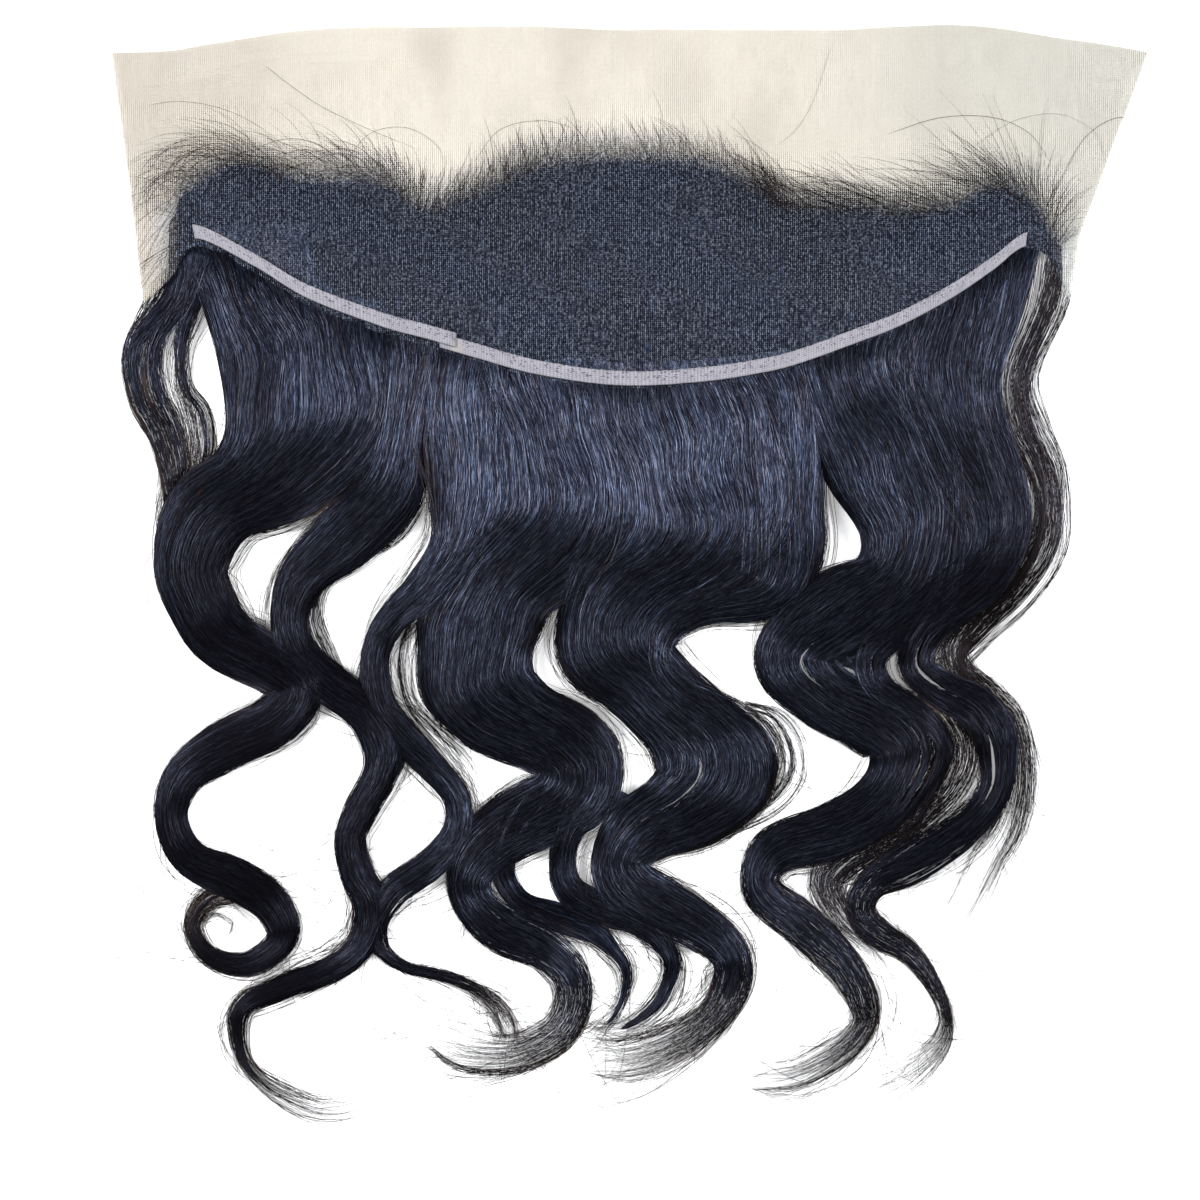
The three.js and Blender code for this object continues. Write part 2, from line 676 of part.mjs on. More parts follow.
// A length of band sewn along the rear edge; lapStart is where it begins to ride on the other one.
function elasticBand(start, end, hem, lapStart) {
  const steps = Math.ceil((end - start) * BAND_STEPS_PER_ROW);
  const underside = Array.from({ length: steps + 1 }, (_, i) => {
    const row = THREE.MathUtils.lerp(start, end, i / steps);
    const column = laceColumn(row);
    const lace = laceUnderside(column);
    const lap = row > lapStart ? BAND_WALL + GAP : 0;
    return [hem, hem + BAND_WIDTH].map((inset) => {
      const point = lace[0].clone().lerp(lace[1], inset / lace[0].distanceTo(lace[1]));
      return point.setZ(point.z + LACE_WALL + GAP + lap);
    });
  });
  return slab(underside, raised(underside, BAND_WALL));
}

function namedMesh(name, solid, look) {
  const { vertProperties, triVerts } = solid.getMesh();
  const geometry = new THREE.BufferGeometry();
  geometry.setAttribute("position", new THREE.BufferAttribute(vertProperties, 3));
  geometry.setIndex(new THREE.BufferAttribute(triVerts, 1));
  geometry.computeVertexNormals();
  const mesh = new THREE.Mesh(geometry, new THREE.MeshStandardMaterial(look));
  mesh.name = name;
  return mesh;
}

// The pieces, then the whole moved so that its box stands centred on the origin.
const pieces = new THREE.Group();
const beforeLeft = sideOfParting(LEFT_PARTING, -1);
const afterLeft = sideOfParting(LEFT_PARTING, 1);
const beforeRight = sideOfParting(RIGHT_PARTING, -1);
const afterRight = sideOfParting(RIGHT_PARTING, 1);
const leftTables = [SIDE_WISP_LEFT, OUTER_LEFT_LOCK, INNER_LEFT_LOCK, PARTED_LOCK];
const centreTables = [
  CENTRE_LEFT_LOCK,
  THIN_CENTRE_LOCK,
  CURLED_CENTRE_LOCK,
  CENTRE_RIGHT_LOCK,
  CENTRE_EDGE_LOCK,
];
const rightTables = [INNER_RIGHT_LOCK, MIDDLE_RIGHT_LOCK, OUTER_RIGHT_LOCK, SIDE_WISP_RIGHT];
pieces.add(
  namedMesh("lace_base", laceSheet(), LACE_LOOK),
  namedMesh(
    "elastic_band_left",
    elasticBand(LEFT_BAND_START, LEFT_BAND_END, LEFT_BAND_HEM, RIGHT_BAND_START - LAP_LEAD),
    BAND_LOOK,
  ),
  namedMesh(
    "elastic_band_right",
    elasticBand(RIGHT_BAND_START, RIGHT_BAND_END, RIGHT_BAND_HEM, LAST_ROW),
    BAND_LOOK,
  ),
  namedMesh("hair_bed", hairBed(), HAIR_LOOK),
  namedMesh("hair_fall_left", hairFall(leftTables, [beforeLeft]), HAIR_LOOK),
  namedMesh("hair_fall_centre", hairFall(centreTables, [afterLeft, beforeRight]), HAIR_LOOK),
  namedMesh("hair_fall_right", hairFall(rightTables, [afterRight]), HAIR_LOOK),
);
const box = new THREE.Box3().setFromObject(pieces);
const middle = box.getCenter(new THREE.Vector3());
pieces.position.set(-middle.x, -middle.y, -box.min.z);

const laceFrontal = new THREE.Group();
laceFrontal.name = "lace_frontal";
laceFrontal.add(pieces);
export default laceFrontal;
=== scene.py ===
# Ear-to-ear lace frontal laid flat with its inner side up: sheer net, sewn elastic band,
# hair knotted under the net and long body-wave locks. Metres, in the frame of the part.
import math

import bpy
import numpy as np
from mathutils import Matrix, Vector
from mathutils.bvhtree import BVHTree


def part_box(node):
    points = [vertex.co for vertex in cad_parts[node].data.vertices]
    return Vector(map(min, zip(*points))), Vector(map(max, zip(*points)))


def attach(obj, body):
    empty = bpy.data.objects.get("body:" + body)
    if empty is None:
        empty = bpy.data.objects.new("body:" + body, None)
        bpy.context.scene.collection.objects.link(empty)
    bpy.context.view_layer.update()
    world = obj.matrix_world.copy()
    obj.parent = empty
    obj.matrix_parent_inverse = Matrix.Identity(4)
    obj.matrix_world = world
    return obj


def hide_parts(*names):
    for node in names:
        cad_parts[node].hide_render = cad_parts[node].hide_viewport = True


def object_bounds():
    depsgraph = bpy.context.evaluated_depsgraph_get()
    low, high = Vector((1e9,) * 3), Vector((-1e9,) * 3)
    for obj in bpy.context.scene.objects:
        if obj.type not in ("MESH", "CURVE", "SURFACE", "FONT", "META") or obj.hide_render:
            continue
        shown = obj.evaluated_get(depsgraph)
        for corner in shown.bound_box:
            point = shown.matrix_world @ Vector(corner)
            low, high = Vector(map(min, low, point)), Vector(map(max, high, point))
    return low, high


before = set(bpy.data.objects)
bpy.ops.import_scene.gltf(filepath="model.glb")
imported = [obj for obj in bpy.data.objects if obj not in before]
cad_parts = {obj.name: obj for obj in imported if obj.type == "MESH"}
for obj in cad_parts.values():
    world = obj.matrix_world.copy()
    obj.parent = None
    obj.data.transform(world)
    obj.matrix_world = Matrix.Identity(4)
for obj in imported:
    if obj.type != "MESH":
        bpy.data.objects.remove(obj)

CAD_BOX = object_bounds()
MM = 0.001
SEED = 13

# Driving sizes of the real piece, the same as the part's.
LACE_HALF_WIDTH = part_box("lace_base")[1].x
LACE_DEPTH = 134 * MM
HAIR_FALL = 280 * MM
LOCK_WIDTH = 40 * MM
LOCK_HEIGHT = 13 * MM
BAND_WIDTH = 5.5 * MM
RIGHT_BAND_HEM = 0.9 * MM
LEFT_BAND_HEM = 2.6 * MM
FRONT_EDGE_UP = 1.01
TABLES_ORIGIN_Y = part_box("lace_base")[1].y - FRONT_EDGE_UP * LACE_DEPTH

# Where the readings of the photo count from, and the driving sizes in its pixels.
PHOTO_MIDDLE_X = 630
PHOTO_BAND_Y = 381
HALF_LACE_PIXELS = 517
LACE_DEPTH_PIXELS = 353
HAIR_FALL_PIXELS = 737
PIXEL = 0.38 * MM
SHARE_STEP = 0.005
LOCK_SIZE_STEP = 0.01

# Lace, a row per section from the left ear corner to the right one, in pixels of the photo:
# [rear edge x, y, hairline x, y, front edge x, y].
LACE_READINGS = [
    [144, 303, 134, 215, 113, 53],
    [175, 275, 170, 215, 170, 51],
    [198, 246, 186, 184, 206, 45],
    [258, 275, 240, 156, 252, 38],
    [310, 306, 300, 171, 304, 31],
    [381, 335, 380, 174, 380, 28],
    [425, 347, 426, 200, 425, 28],
    [480, 363, 486, 182, 480, 26],
    [540, 379, 540, 158, 540, 26],
    [620, 390, 620, 152, 620, 30],
    [700, 386, 700, 157, 700, 30],
    [760, 378, 765, 183, 760, 30],
    [796, 368, 796, 200, 800, 30],
    [850, 349, 845, 200, 850, 30],
    [900, 329, 900, 205, 900, 27],
    [951, 301, 951, 200, 950, 25],
    [990, 275, 995, 178, 1000, 28],
    [1022, 251, 1030, 195, 1060, 38],
    [1048, 262, 1056, 235, 1104, 46],
    [1069, 305, 1078, 240, 1147, 53],
]
LEFT_BAND_ROWS = (2.0, 6.6)
RIGHT_BAND_ROWS = (6.3, 17.0)

# Locks, a row per bend: [x, y and width in pixels of the photo, height in millimetres].
SIDE_WISP_LEFT = [
    [182, 250, 70, 5], [176, 300, 72, 5], [160, 345, 66, 4], [160, 390, 64, 3], [176, 430, 50, 3],
    [184, 470, 38, 3], [184, 512, 26, 2.5], [176, 545, 18, 2],
]
OUTER_WISP_LEFT = [
    [186, 255, 36, 5], [172, 300, 30, 5], [136, 345, 22, 4], [138, 395, 20, 3], [160, 440, 16, 3],
    [170, 480, 14, 2], [172, 520, 9, 2], [168, 550, 6, 2],
]
MIDDLE_WISP_LEFT = [
    [196, 255, 34, 5], [184, 300, 26, 5], [156, 345, 18, 4], [158, 390, 17, 3], [176, 429, 14, 3],
    [183, 465, 11, 2], [180, 505, 8, 2], [176, 540, 5, 2],
]
INNER_WISP_LEFT = [
    [206, 255, 30, 5], [197, 300, 22, 5], [182, 340, 15, 4], [185, 384, 13, 3], [203, 412, 11, 3],
    [208, 445, 8, 2], [200, 485, 6, 2], [192, 520, 4, 2],
]
OUTER_LEFT_LOCK = [
    [270, 226, 186, 9], [303, 320, 192, 9.7], [312, 390, 176, 11], [306, 440, 160, 12],
    [272, 480, 130, 12], [215, 515, 96, 12], [194, 560, 76, 11], [200, 600, 70, 10], [228, 640, 66, 9],
    [278, 668, 58, 9], [300, 692, 50, 9], [276, 720, 52, 9], [226, 746, 50, 8], [186, 776, 40, 8],
    [173, 815, 33, 7], [190, 855, 37, 7], [236, 880, 42, 7], [274, 905, 37, 7], [283, 938, 28, 6],
    [250, 962, 24, 5], [210, 955, 18, 4], [194, 925, 12, 3], [208, 900, 9, 2], [236, 893, 6, 2],
    [262, 906, 4, 2],
]
INNER_LEFT_LOCK = [
    [408, 285, 70, 8], [418, 350, 60, 9], [409, 400, 54, 10], [402, 450, 52, 11], [389, 497, 66, 11],
    [345, 540, 68, 11], [304, 578, 50, 10], [292, 618, 38, 9], [302, 655, 38, 9], [335, 688, 42, 9],
    [366, 714, 40, 9], [384, 745, 44, 8], [380, 775, 34, 8], [364, 805, 33, 7], [350, 838, 31, 7],
    [358, 875, 34, 7], [371, 905, 36, 6], [365, 940, 29, 6], [335, 968, 26, 5], [285, 984, 24, 5],
    [246, 1004, 20, 5], [237, 1035, 17, 4], [248, 1068, 13, 4], [276, 1094, 16, 3], [316, 1110, 16, 2],
    [358, 1112, 14, 2],
]
PARTED_LOCK = [
    [459, 295, 76, 8], [468, 352, 84, 9], [462, 405, 88, 10.5], [462, 455, 80, 11], [466, 500, 76, 11],
    [456, 548, 54, 10], [426, 588, 40, 9], [392, 620, 32, 8], [376, 655, 28, 8], [379, 700, 34, 8],
    [402, 735, 34, 7], [433, 768, 28, 7], [457, 798, 26, 6], [456, 832, 27, 6], [430, 862, 30, 6],
    [394, 888, 30, 6], [377, 920, 26, 5], [382, 948, 16, 4], [404, 967, 11, 3], [440, 976, 10, 3],
    [470, 984, 10, 3], [496, 1002, 9, 3], [509, 1028, 8, 2], [508, 1046, 7, 2],
]
CENTRE_LEFT_LOCK = [
    [514, 300, 124, 9], [543, 385, 124, 9.7], [558, 450, 124, 11], [560, 515, 126, 12],
    [540, 556, 134, 12], [500, 590, 114, 11], [480, 624, 122, 10], [474, 656, 116, 10],
    [480, 686, 118, 10], [509, 716, 109, 10], [560, 742, 96, 9], [582, 768, 86, 9], [568, 796, 84, 8],
    [520, 822, 74, 8], [486, 850, 60, 7], [469, 880, 44, 7], [477, 906, 44, 6], [507, 929, 50, 6],
    [548, 950, 44, 6], [570, 975, 38, 5], [574, 1004, 36, 5], [556, 1032, 34, 4], [514, 1050, 34, 3],
    [468, 1048, 40, 2.5], [434, 1030, 36, 2],
]
THIN_CENTRE_LOCK = [
    [540, 790, 40, 6], [512, 828, 30, 5], [503, 870, 24, 5], [521, 900, 22, 5], [556, 916, 28, 5],
    [592, 929, 26, 4], [612, 947, 18, 4], [625, 968, 14, 4], [624, 990, 12, 3], [614, 1014, 10, 3],
    [596, 1034, 7, 2], [570, 1040, 5, 2],
]
CURLED_CENTRE_LOCK = [
    [604, 784, 70, 7], [572, 822, 34, 6], [562, 855, 28, 6], [569, 885, 30, 6], [594, 904, 32, 6],
    [632, 919, 30, 5], [659, 936, 26, 5], [671, 958, 21, 5], [669, 982, 19, 4], [654, 1008, 20, 4],
    [620, 1030, 14, 3], [586, 1034, 9, 3],
]
CENTRE_RIGHT_LOCK = [
    [640, 300, 190, 9], [670, 385, 190, 9.7], [692, 450, 196, 11], [699, 515, 198, 12],
    [680, 554, 186, 12], [640, 588, 142, 11], [618, 626, 120, 10], [617, 656, 114, 10],
    [646, 682, 94, 10], [690, 724, 98, 9], [714, 752, 120, 9], [712, 782, 118, 9], [686, 808, 98, 8],
    [644, 830, 76, 8], [619, 856, 56, 7], [627, 884, 60, 7], [662, 906, 56, 6], [705, 929, 46, 6],
    [730, 956, 38, 6], [732, 986, 38, 5], [716, 1014, 34, 5], [680, 1042, 34, 4], [630, 1058, 34, 3],
    [584, 1060, 28, 2],
]
CENTRE_EDGE_LOCK = [
    [742, 300, 118, 9], [764, 372, 112, 9.7], [777, 430, 96, 11], [783, 500, 84, 12],
    [782, 552, 84, 11], [764, 590, 66, 9], [706, 610, 34, 8], [669, 632, 26, 7], [660, 660, 24, 7],
    [678, 688, 28, 7], [708, 707, 36, 7], [740, 726, 42, 7], [756, 752, 44, 7], [750, 784, 44, 7],
    [714, 814, 44, 6], [666, 834, 34, 6],
]
INNER_RIGHT_LOCK = [
    [868, 290, 124, 9], [851, 352, 124, 9.7], [866, 410, 132, 12], [888, 470, 136, 12],
    [908, 530, 104, 12], [902, 575, 104, 11], [852, 608, 120, 10], [806, 645, 96, 10],
    [800, 670, 88, 9], [828, 696, 80, 9], [874, 718, 86, 9], [904, 744, 82, 9], [900, 774, 66, 8],
    [876, 804, 62, 8], [832, 830, 60, 7], [778, 850, 50, 7], [759, 875, 38, 7], [767, 898, 42, 7],
    [796, 920, 44, 6], [824, 945, 42, 6], [846, 972, 36, 5], [862, 1000, 32, 4], [862, 1026, 24, 3],
    [840, 1052, 26, 2.5], [796, 1074, 26, 2], [748, 1078, 24, 2],
]
MIDDLE_RIGHT_LOCK = [
    [966, 254, 90, 8], [940, 335, 92, 9], [944, 400, 96, 11], [968, 470, 96, 12], [988, 530, 64, 12],
    [976, 570, 58, 11], [930, 604, 50, 10], [887, 634, 36, 9], [868, 662, 32, 8], [882, 690, 28, 7],
    [922, 716, 20, 6], [946, 744, 16, 6], [938, 772, 14, 6], [922, 804, 14, 5], [896, 836, 12, 5],
    [868, 858, 8, 4],
]
OUTER_RIGHT_LOCK = [
    [1012, 228, 66, 7], [998, 306, 52, 8], [980, 388, 40, 9], [1000, 470, 44, 10], [1010, 530, 40, 10],
    [984, 576, 48, 9], [950, 607, 46, 9], [922, 636, 36, 8], [914, 664, 34, 8], [938, 688, 38, 8],
    [970, 704, 46, 8], [991, 730, 46, 8], [997, 757, 40, 7], [994, 786, 34, 7], [979, 813, 34, 6],
    [948, 838, 40, 6], [906, 862, 44, 6], [870, 886, 30, 5], [861, 910, 28, 4], [878, 934, 28, 4],
    [908, 954, 22, 4], [932, 982, 15, 3], [945, 1016, 11, 3], [938, 1046, 18, 2.5], [904, 1072, 18, 2],
    [862, 1088, 14, 2],
]
SIDE_WISP_RIGHT = [
    [1040, 240, 60, 4], [1032, 302, 60, 4], [1007, 375, 46, 4], [1012, 425, 34, 3], [1031, 462, 22, 3],
    [1041, 502, 13, 3], [1034, 546, 13, 3], [1008, 590, 14, 3], [972, 622, 24, 3], [954, 650, 28, 3],
    [960, 676, 32, 3], [988, 700, 36, 3], [1008, 728, 36, 3], [1016, 774, 36, 3], [1008, 822, 40, 2.5],
    [988, 860, 44, 2.5], [968, 896, 44, 2], [954, 930, 44, 2], [960, 960, 44, 2],
]
VEIL_RIGHT_RIM = [
    [1062, 250, 24, 1], [1055, 300, 30, 1], [1025, 372, 24, 1], [1036, 425, 30, 1], [1053, 465, 26, 1],
    [1060, 508, 22, 1], [1054, 550, 24, 1], [1026, 596, 24, 1], [984, 634, 20, 1], [962, 664, 18, 1],
    [984, 696, 20, 1], [1020, 732, 20, 1], [1036, 780, 14, 1], [1026, 830, 14, 1],
]
VEIL_RIGHT_INSIDE = [
    [912, 700, 26, 4], [936, 718, 50, 4], [948, 745, 70, 4], [940, 775, 68, 4], [918, 805, 60, 4],
    [880, 835, 50, 4], [846, 858, 44, 3], [826, 884, 38, 3], [842, 914, 32, 3], [872, 940, 30, 3],
    [900, 966, 26, 2],
]
VEIL_CENTRE_RIM = [
    [745, 704, 16, 1], [776, 718, 20, 1], [794, 745, 24, 1], [794, 780, 26, 1], [770, 808, 26, 1],
    [728, 830, 20, 1], [696, 850, 16, 1], [690, 880, 14, 1],
]
VEIL_INNER_LEFT = [
    [420, 500, 30, 2], [395, 535, 30, 2], [352, 560, 26, 2], [322, 590, 26, 2], [316, 622, 28, 2],
    [330, 655, 28, 2], [352, 690, 24, 2], [380, 720, 20, 2],
]
VEIL_LEFT_PARTING = [
    [432, 292, 30, 9.6], [440, 340, 30, 10.2], [430, 395, 28, 11], [424, 445, 24, 11.6],
    [430, 495, 14, 11], [440, 550, 8, 9],
]
VEIL_RIGHT_PARTING = [
    [806, 296, 34, 9.6], [792, 345, 32, 10.2], [789, 400, 26, 11], [797, 445, 20, 11.6],
    [812, 490, 14, 11], [820, 540, 9, 9],
]
VEIL_PARTED = [
    [440, 598, 20, 2], [412, 628, 16, 2], [403, 660, 18, 2], [408, 700, 20, 2], [432, 732, 20, 2],
    [466, 766, 18, 2], [476, 800, 14, 2],
]


def snapped(values, step):
    """Values rounded to a step."""
    return np.round(np.round(values / step) * step, 3)


def lace_shares(readings):
    """Readings of the lace as shares of its half width and depth."""
    shares = np.array(readings, float)
    shares[:, 0::2] = snapped((shares[:, 0::2] - PHOTO_MIDDLE_X) / HALF_LACE_PIXELS, SHARE_STEP)
    shares[:, 1::2] = snapped((PHOTO_BAND_Y - shares[:, 1::2]) / LACE_DEPTH_PIXELS, SHARE_STEP)
    return shares


def lock_shares(readings):
    """Readings of a lock as shares of the half width, the fall, the lock width and the lock height."""
    x, y, width, height = np.array(readings, float).T
    return np.column_stack([
        snapped((x - PHOTO_MIDDLE_X) / HALF_LACE_PIXELS, SHARE_STEP),
        snapped((y - PHOTO_BAND_Y) / HAIR_FALL_PIXELS, SHARE_STEP),
        snapped(width * PIXEL / LOCK_WIDTH, LOCK_SIZE_STEP),
        snapped(height * MM / LOCK_HEIGHT, LOCK_SIZE_STEP),
    ])


LACE_ROWS = lace_shares(LACE_READINGS)


def smooth_curve(rows, at):
    """Smooth path through the rows of a table, read at table positions."""
    table = np.asarray(rows, float)
    last = len(table) - 1
    at = np.clip(np.asarray(at, float), 0, last)
    cell = np.minimum(at.astype(int), last - 1)
    t = (at - cell)[..., None]
    before = 2 * table[0] - table[1]
    after = 2 * table[-1] - table[-2]
    padded = np.vstack([before, table, after])
    p0, p1, p2, p3 = (padded[cell + k] for k in range(4))
    v0 = (p2 - p0) / 2
    v1 = (p3 - p1) / 2
    bend = 2 * p1 - 2 * p2 + v0 + v1
    lean = -3 * p1 + 3 * p2 - 2 * v0 - v1
    return ((bend * t + lean) * t + v0) * t + p1


def ramp(value, low, high):
    """0 below low, 1 above high and a smooth rise between."""
    t = np.clip((value - low) / (high - low), 0, 1)
    return t * t * (3 - 2 * t)


def blurred(values, rounds):
    """Grid of values with each cell averaged with its neighbours, several times over."""
    for _ in range(rounds):
        for axis in (0, 1):
            values = values / 2 + (np.roll(values, 1, axis) + np.roll(values, -1, axis)) / 4
    return values


class Field:
    """Values on a regular grid over the table, read between its points."""

    def __init__(self, low, high, step):
        self.low = low
        self.step = step
        self.xs = np.arange(low[0], high[0] + step, step)
        self.ys = np.arange(low[1], high[1] + step, step)
        self.values = np.zeros((len(self.xs), len(self.ys)))

    def read(self, x, y, values=None):
        values = self.values if values is None else values
        i = np.clip((x - self.low[0]) / self.step, 0, len(self.xs) - 1.001)
        j = np.clip((y - self.low[1]) / self.step, 0, len(self.ys) - 1.001)
        i0 = i.astype(int)
        j0 = j.astype(int)
        a = i - i0
        b = j - j0
        return (
            values[i0, j0] * (1 - a) * (1 - b)
            + values[i0 + 1, j0] * a * (1 - b)
            + values[i0, j0 + 1] * (1 - a) * b
            + values[i0 + 1, j0 + 1] * a * b
        )


def node_top(name, step):
    """Height of the top of a CAD node over a grid, and a share that is 1 over the node."""
    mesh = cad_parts[name].data
    tree = BVHTree.FromPolygons([v.co for v in mesh.vertices], [p.vertices for p in mesh.polygons])
    low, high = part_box(name)
    margin = 3 * step
    field = Field((low.x - margin, low.y - margin), (high.x + margin, high.y + margin), step)
    over = np.zeros_like(field.values)
    down = Vector((0, 0, -1))
    for i, x in enumerate(field.xs):
        for j, y in enumerate(field.ys):
            hit = tree.ray_cast(Vector((x, y, 1)), down)[0]
            if hit is not None:
                field.values[i, j] = hit.z
                over[i, j] = 1
    return field, over


LACE_GRID, LACE_OVER = node_top("lace_base", 1 * MM)
LACE_GRID.values = blurred(LACE_GRID.values, 8) / np.maximum(blurred(LACE_OVER, 8), 0.01)
LAST_LACE_ROW = len(LACE_ROWS) - 1


def lace_line(column, at):
    """Points of the rear edge (column 0), hairline (2) or front edge (4) at table positions."""
    share = smooth_curve(LACE_ROWS[:, column:column + 2], at)
    return share * [LACE_HALF_WIDTH, LACE_DEPTH] + [0, TABLES_ORIGIN_Y]


LINE_READINGS = np.linspace(0, LAST_LACE_ROW, 400)
REAR_LINE = lace_line(0, LINE_READINGS)
HAIR_LINE = lace_line(2, LINE_READINGS)
FRONT_LINE = lace_line(4, LINE_READINGS)
LOWER_OUTLINE = np.vstack([FRONT_LINE[:1], HAIR_LINE[:1], REAR_LINE, HAIR_LINE[-1:], FRONT_LINE[-1:]])


def rear_y(x):
    return np.interp(x, REAR_LINE[:, 0], REAR_LINE[:, 1])


def hairline_y(x):
    return np.interp(x, HAIR_LINE[:, 0], HAIR_LINE[:, 1])


def lower_y(x):
    return np.interp(x, LOWER_OUTLINE[:, 0], LOWER_OUTLINE[:, 1])


def front_y(x):
    return np.interp(x, FRONT_LINE[:, 0], FRONT_LINE[:, 1])


def lace_z(x, y):
    return LACE_GRID.read(x, y)


def new_material(name):
    material = bpy.data.materials.new(name)
    material.use_nodes = True
    tree = material.node_tree
    return material, tree, tree.nodes["Principled BSDF"]


def add_node(tree, kind, settings=None, **inputs):
    """A shader node with settings. Inputs are values, or sockets to link; i3 means input number 3."""
    node = tree.nodes.new(kind)
    for key, value in (settings or {}).items():
        setattr(node, key, value)
    for key, value in inputs.items():
        numbered = key[0] == "i" and key[1:].isdigit()
        socket = node.inputs[int(key[1:])] if numbered else node.inputs[key]
        if isinstance(value, bpy.types.NodeSocket):
            tree.links.new(value, socket)
        else:
            socket.default_value = value
    return node


def colour_ramp(tree, factor, stops):
    """Colour by a factor, from stops that are each a position and a colour."""
    stops = list(stops)
    node = tree.nodes.new("ShaderNodeValToRGB")
    tree.links.new(factor, node.inputs["Fac"])
    elements = node.color_ramp.elements
    while len(elements) < len(stops):
        elements.new(0.5)
    for element, (position, colour) in zip(elements, stops):
        element.position = position
        element.color = (*colour, 1)
    return node.outputs["Color"]


def maths(tree, operation, *values, clamp=False):
    inputs = {f"i{number}": value for number, value in enumerate(values)}
    settings = {"operation": operation, "use_clamp": clamp}
    return add_node(tree, "ShaderNodeMath", settings, **inputs).outputs["Value"]


def value_mix(tree, share, first, second):
    return add_node(tree, "ShaderNodeMix", i0=share, i2=first, i3=second).outputs[0]


def colour_mix(tree, share, first, second, blend="MIX"):
    """Mix of two colours, each a socket or three numbers."""
    first, second = ((*side, 1) if isinstance(side, tuple) else side for side in (first, second))
    settings = {"data_type": "RGBA", "blend_type": blend}
    return add_node(tree, "ShaderNodeMix", settings, i0=share, i6=first, i7=second).outputs[2]


def noise(tree, place, scale, detail=2.0, roughness=0.5, dimensions="3D", output="Fac"):
    settings = {"noise_dimensions": dimensions}
    node = add_node(
        tree, "ShaderNodeTexNoise", settings, Vector=place, Scale=scale, Detail=detail, Roughness=roughness
    )
    return node.outputs[output]


def bands(tree, direction, place, scale, distortion):
    settings = {"bands_direction": direction}
    return add_node(
        tree, "ShaderNodeTexWave", settings, Vector=place, Scale=scale, Distortion=distortion
    ).outputs["Fac"]


def drawn_out(tree, place, share):
    """A place scaled along its second axis, which draws a pattern out along it."""
    return add_node(tree, "ShaderNodeMapping", Vector=place, Scale=(1, share, 1)).outputs["Vector"]


def object_place(tree):
    return add_node(tree, "ShaderNodeTexCoord").outputs["Object"]


def strand_uv(tree):
    return add_node(tree, "ShaderNodeUVMap", {"uv_map": "strand"}).outputs["UV"]


def set_inputs(shader, values):
    for name, value in values.items():
        shader.inputs[name].default_value = value


def attribute(tree, name):
    return add_node(tree, "ShaderNodeAttribute", {"attribute_name": name}).outputs["Fac"]


def mapped(tree, value, from_low, from_high, to_low, to_high):
    node = add_node(
        tree, "ShaderNodeMapRange", i0=value, i1=from_low, i2=from_high, i3=to_low, i4=to_high
    )
    return node.outputs["Result"]


def grid_quads(columns, rows):
    """Quads of an open grid of points, counted along each column in turn."""
    index = np.arange(columns * rows).reshape(columns, rows)
    corners = [index[:-1, :-1], index[1:, :-1], index[1:, 1:], index[:-1, 1:]]
    return np.stack(corners, -1).reshape(-1, 4)


def ring_quads(stations, around):
    """Quads round a row of closed sections."""
    index = np.arange(stations * around).reshape(stations, around)
    ahead = np.roll(index, -1, axis=1)
    return np.stack([index[:-1], index[1:], ahead[1:], ahead[:-1]], -1).reshape(-1, 4)


def mesh_object(name, parts, material, smooth=True):
    """Object from parts, each (points, quads, uvs, named values per point)."""
    points, quads, uvs = [], [], []
    values = {}
    total = 0
    for part_points, part_quads, part_uvs, part_values in parts:
        points.append(part_points)
        quads.append(part_quads + total)
        uvs.append(part_uvs)
        for key, value in part_values.items():
            values.setdefault(key, []).append(value)
        total += len(part_points)
    points = np.concatenate(points)
    quads = np.concatenate(quads)
    uvs = np.concatenate(uvs)
    mesh = bpy.data.meshes.new(name)
    mesh.vertices.add(len(points))
    mesh.vertices.foreach_set("co", np.ascontiguousarray(points, np.float32).ravel())
    mesh.loops.add(quads.size)
    mesh.loops.foreach_set("vertex_index", quads.astype(np.int32).ravel())
    mesh.polygons.add(len(quads))
    mesh.polygons.foreach_set("loop_start", np.arange(0, quads.size, 4, dtype=np.int32))
    mesh.polygons.foreach_set("loop_total", np.full(len(quads), 4, np.int32))
    mesh.polygons.foreach_set("use_smooth", np.full(len(quads), smooth))
    layer = mesh.uv_layers.new(name="strand")
    layer.data.foreach_set("uv", uvs[quads.ravel()].astype(np.float32).ravel())
    for key, value in values.items():
        layer = mesh.attributes.new(key, "FLOAT", "POINT")
        layer.data.foreach_set("value", np.concatenate(value).astype(np.float32))
    mesh.update()
    mesh.validate()
    mesh.materials.append(material)
    obj = bpy.data.objects.new(name, mesh)
    bpy.context.scene.collection.objects.link(obj)
    return obj


def finished(obj, slot, *nodes):
    """Rides a piece on the part and hides the CAD nodes that it stands for. The finish in slot is not
    used.
    """
    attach(obj, "root")
    if nodes:
        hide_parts(*nodes)
    return obj


# Streaks: the scale of their noise across the fibre, and how far it is drawn out along it.
STREAK_SCALE = 1900.0
STREAK_STRETCH = 0.09
TRESS_SCALE = 420.0
TRESS_STRETCH = 0.12
TRESS_SHARE = 0.28
STREAK_DETAIL = 3.0
STREAK_ROUGHNESS = 0.65
WAVER = 1.1 * MM
WAVER_SCALE = 150.0
HUE_SCALE = 60.0
HUE_STRETCH = 0.35
HUE_FROM_NOISE = (0.47, 0.64)
TONE_SHARE = 0.13
TONE_STOPS = (0.36, 0.52, 0.7)
ROUGHNESS_BY_TONE = (0.62, 0.42)
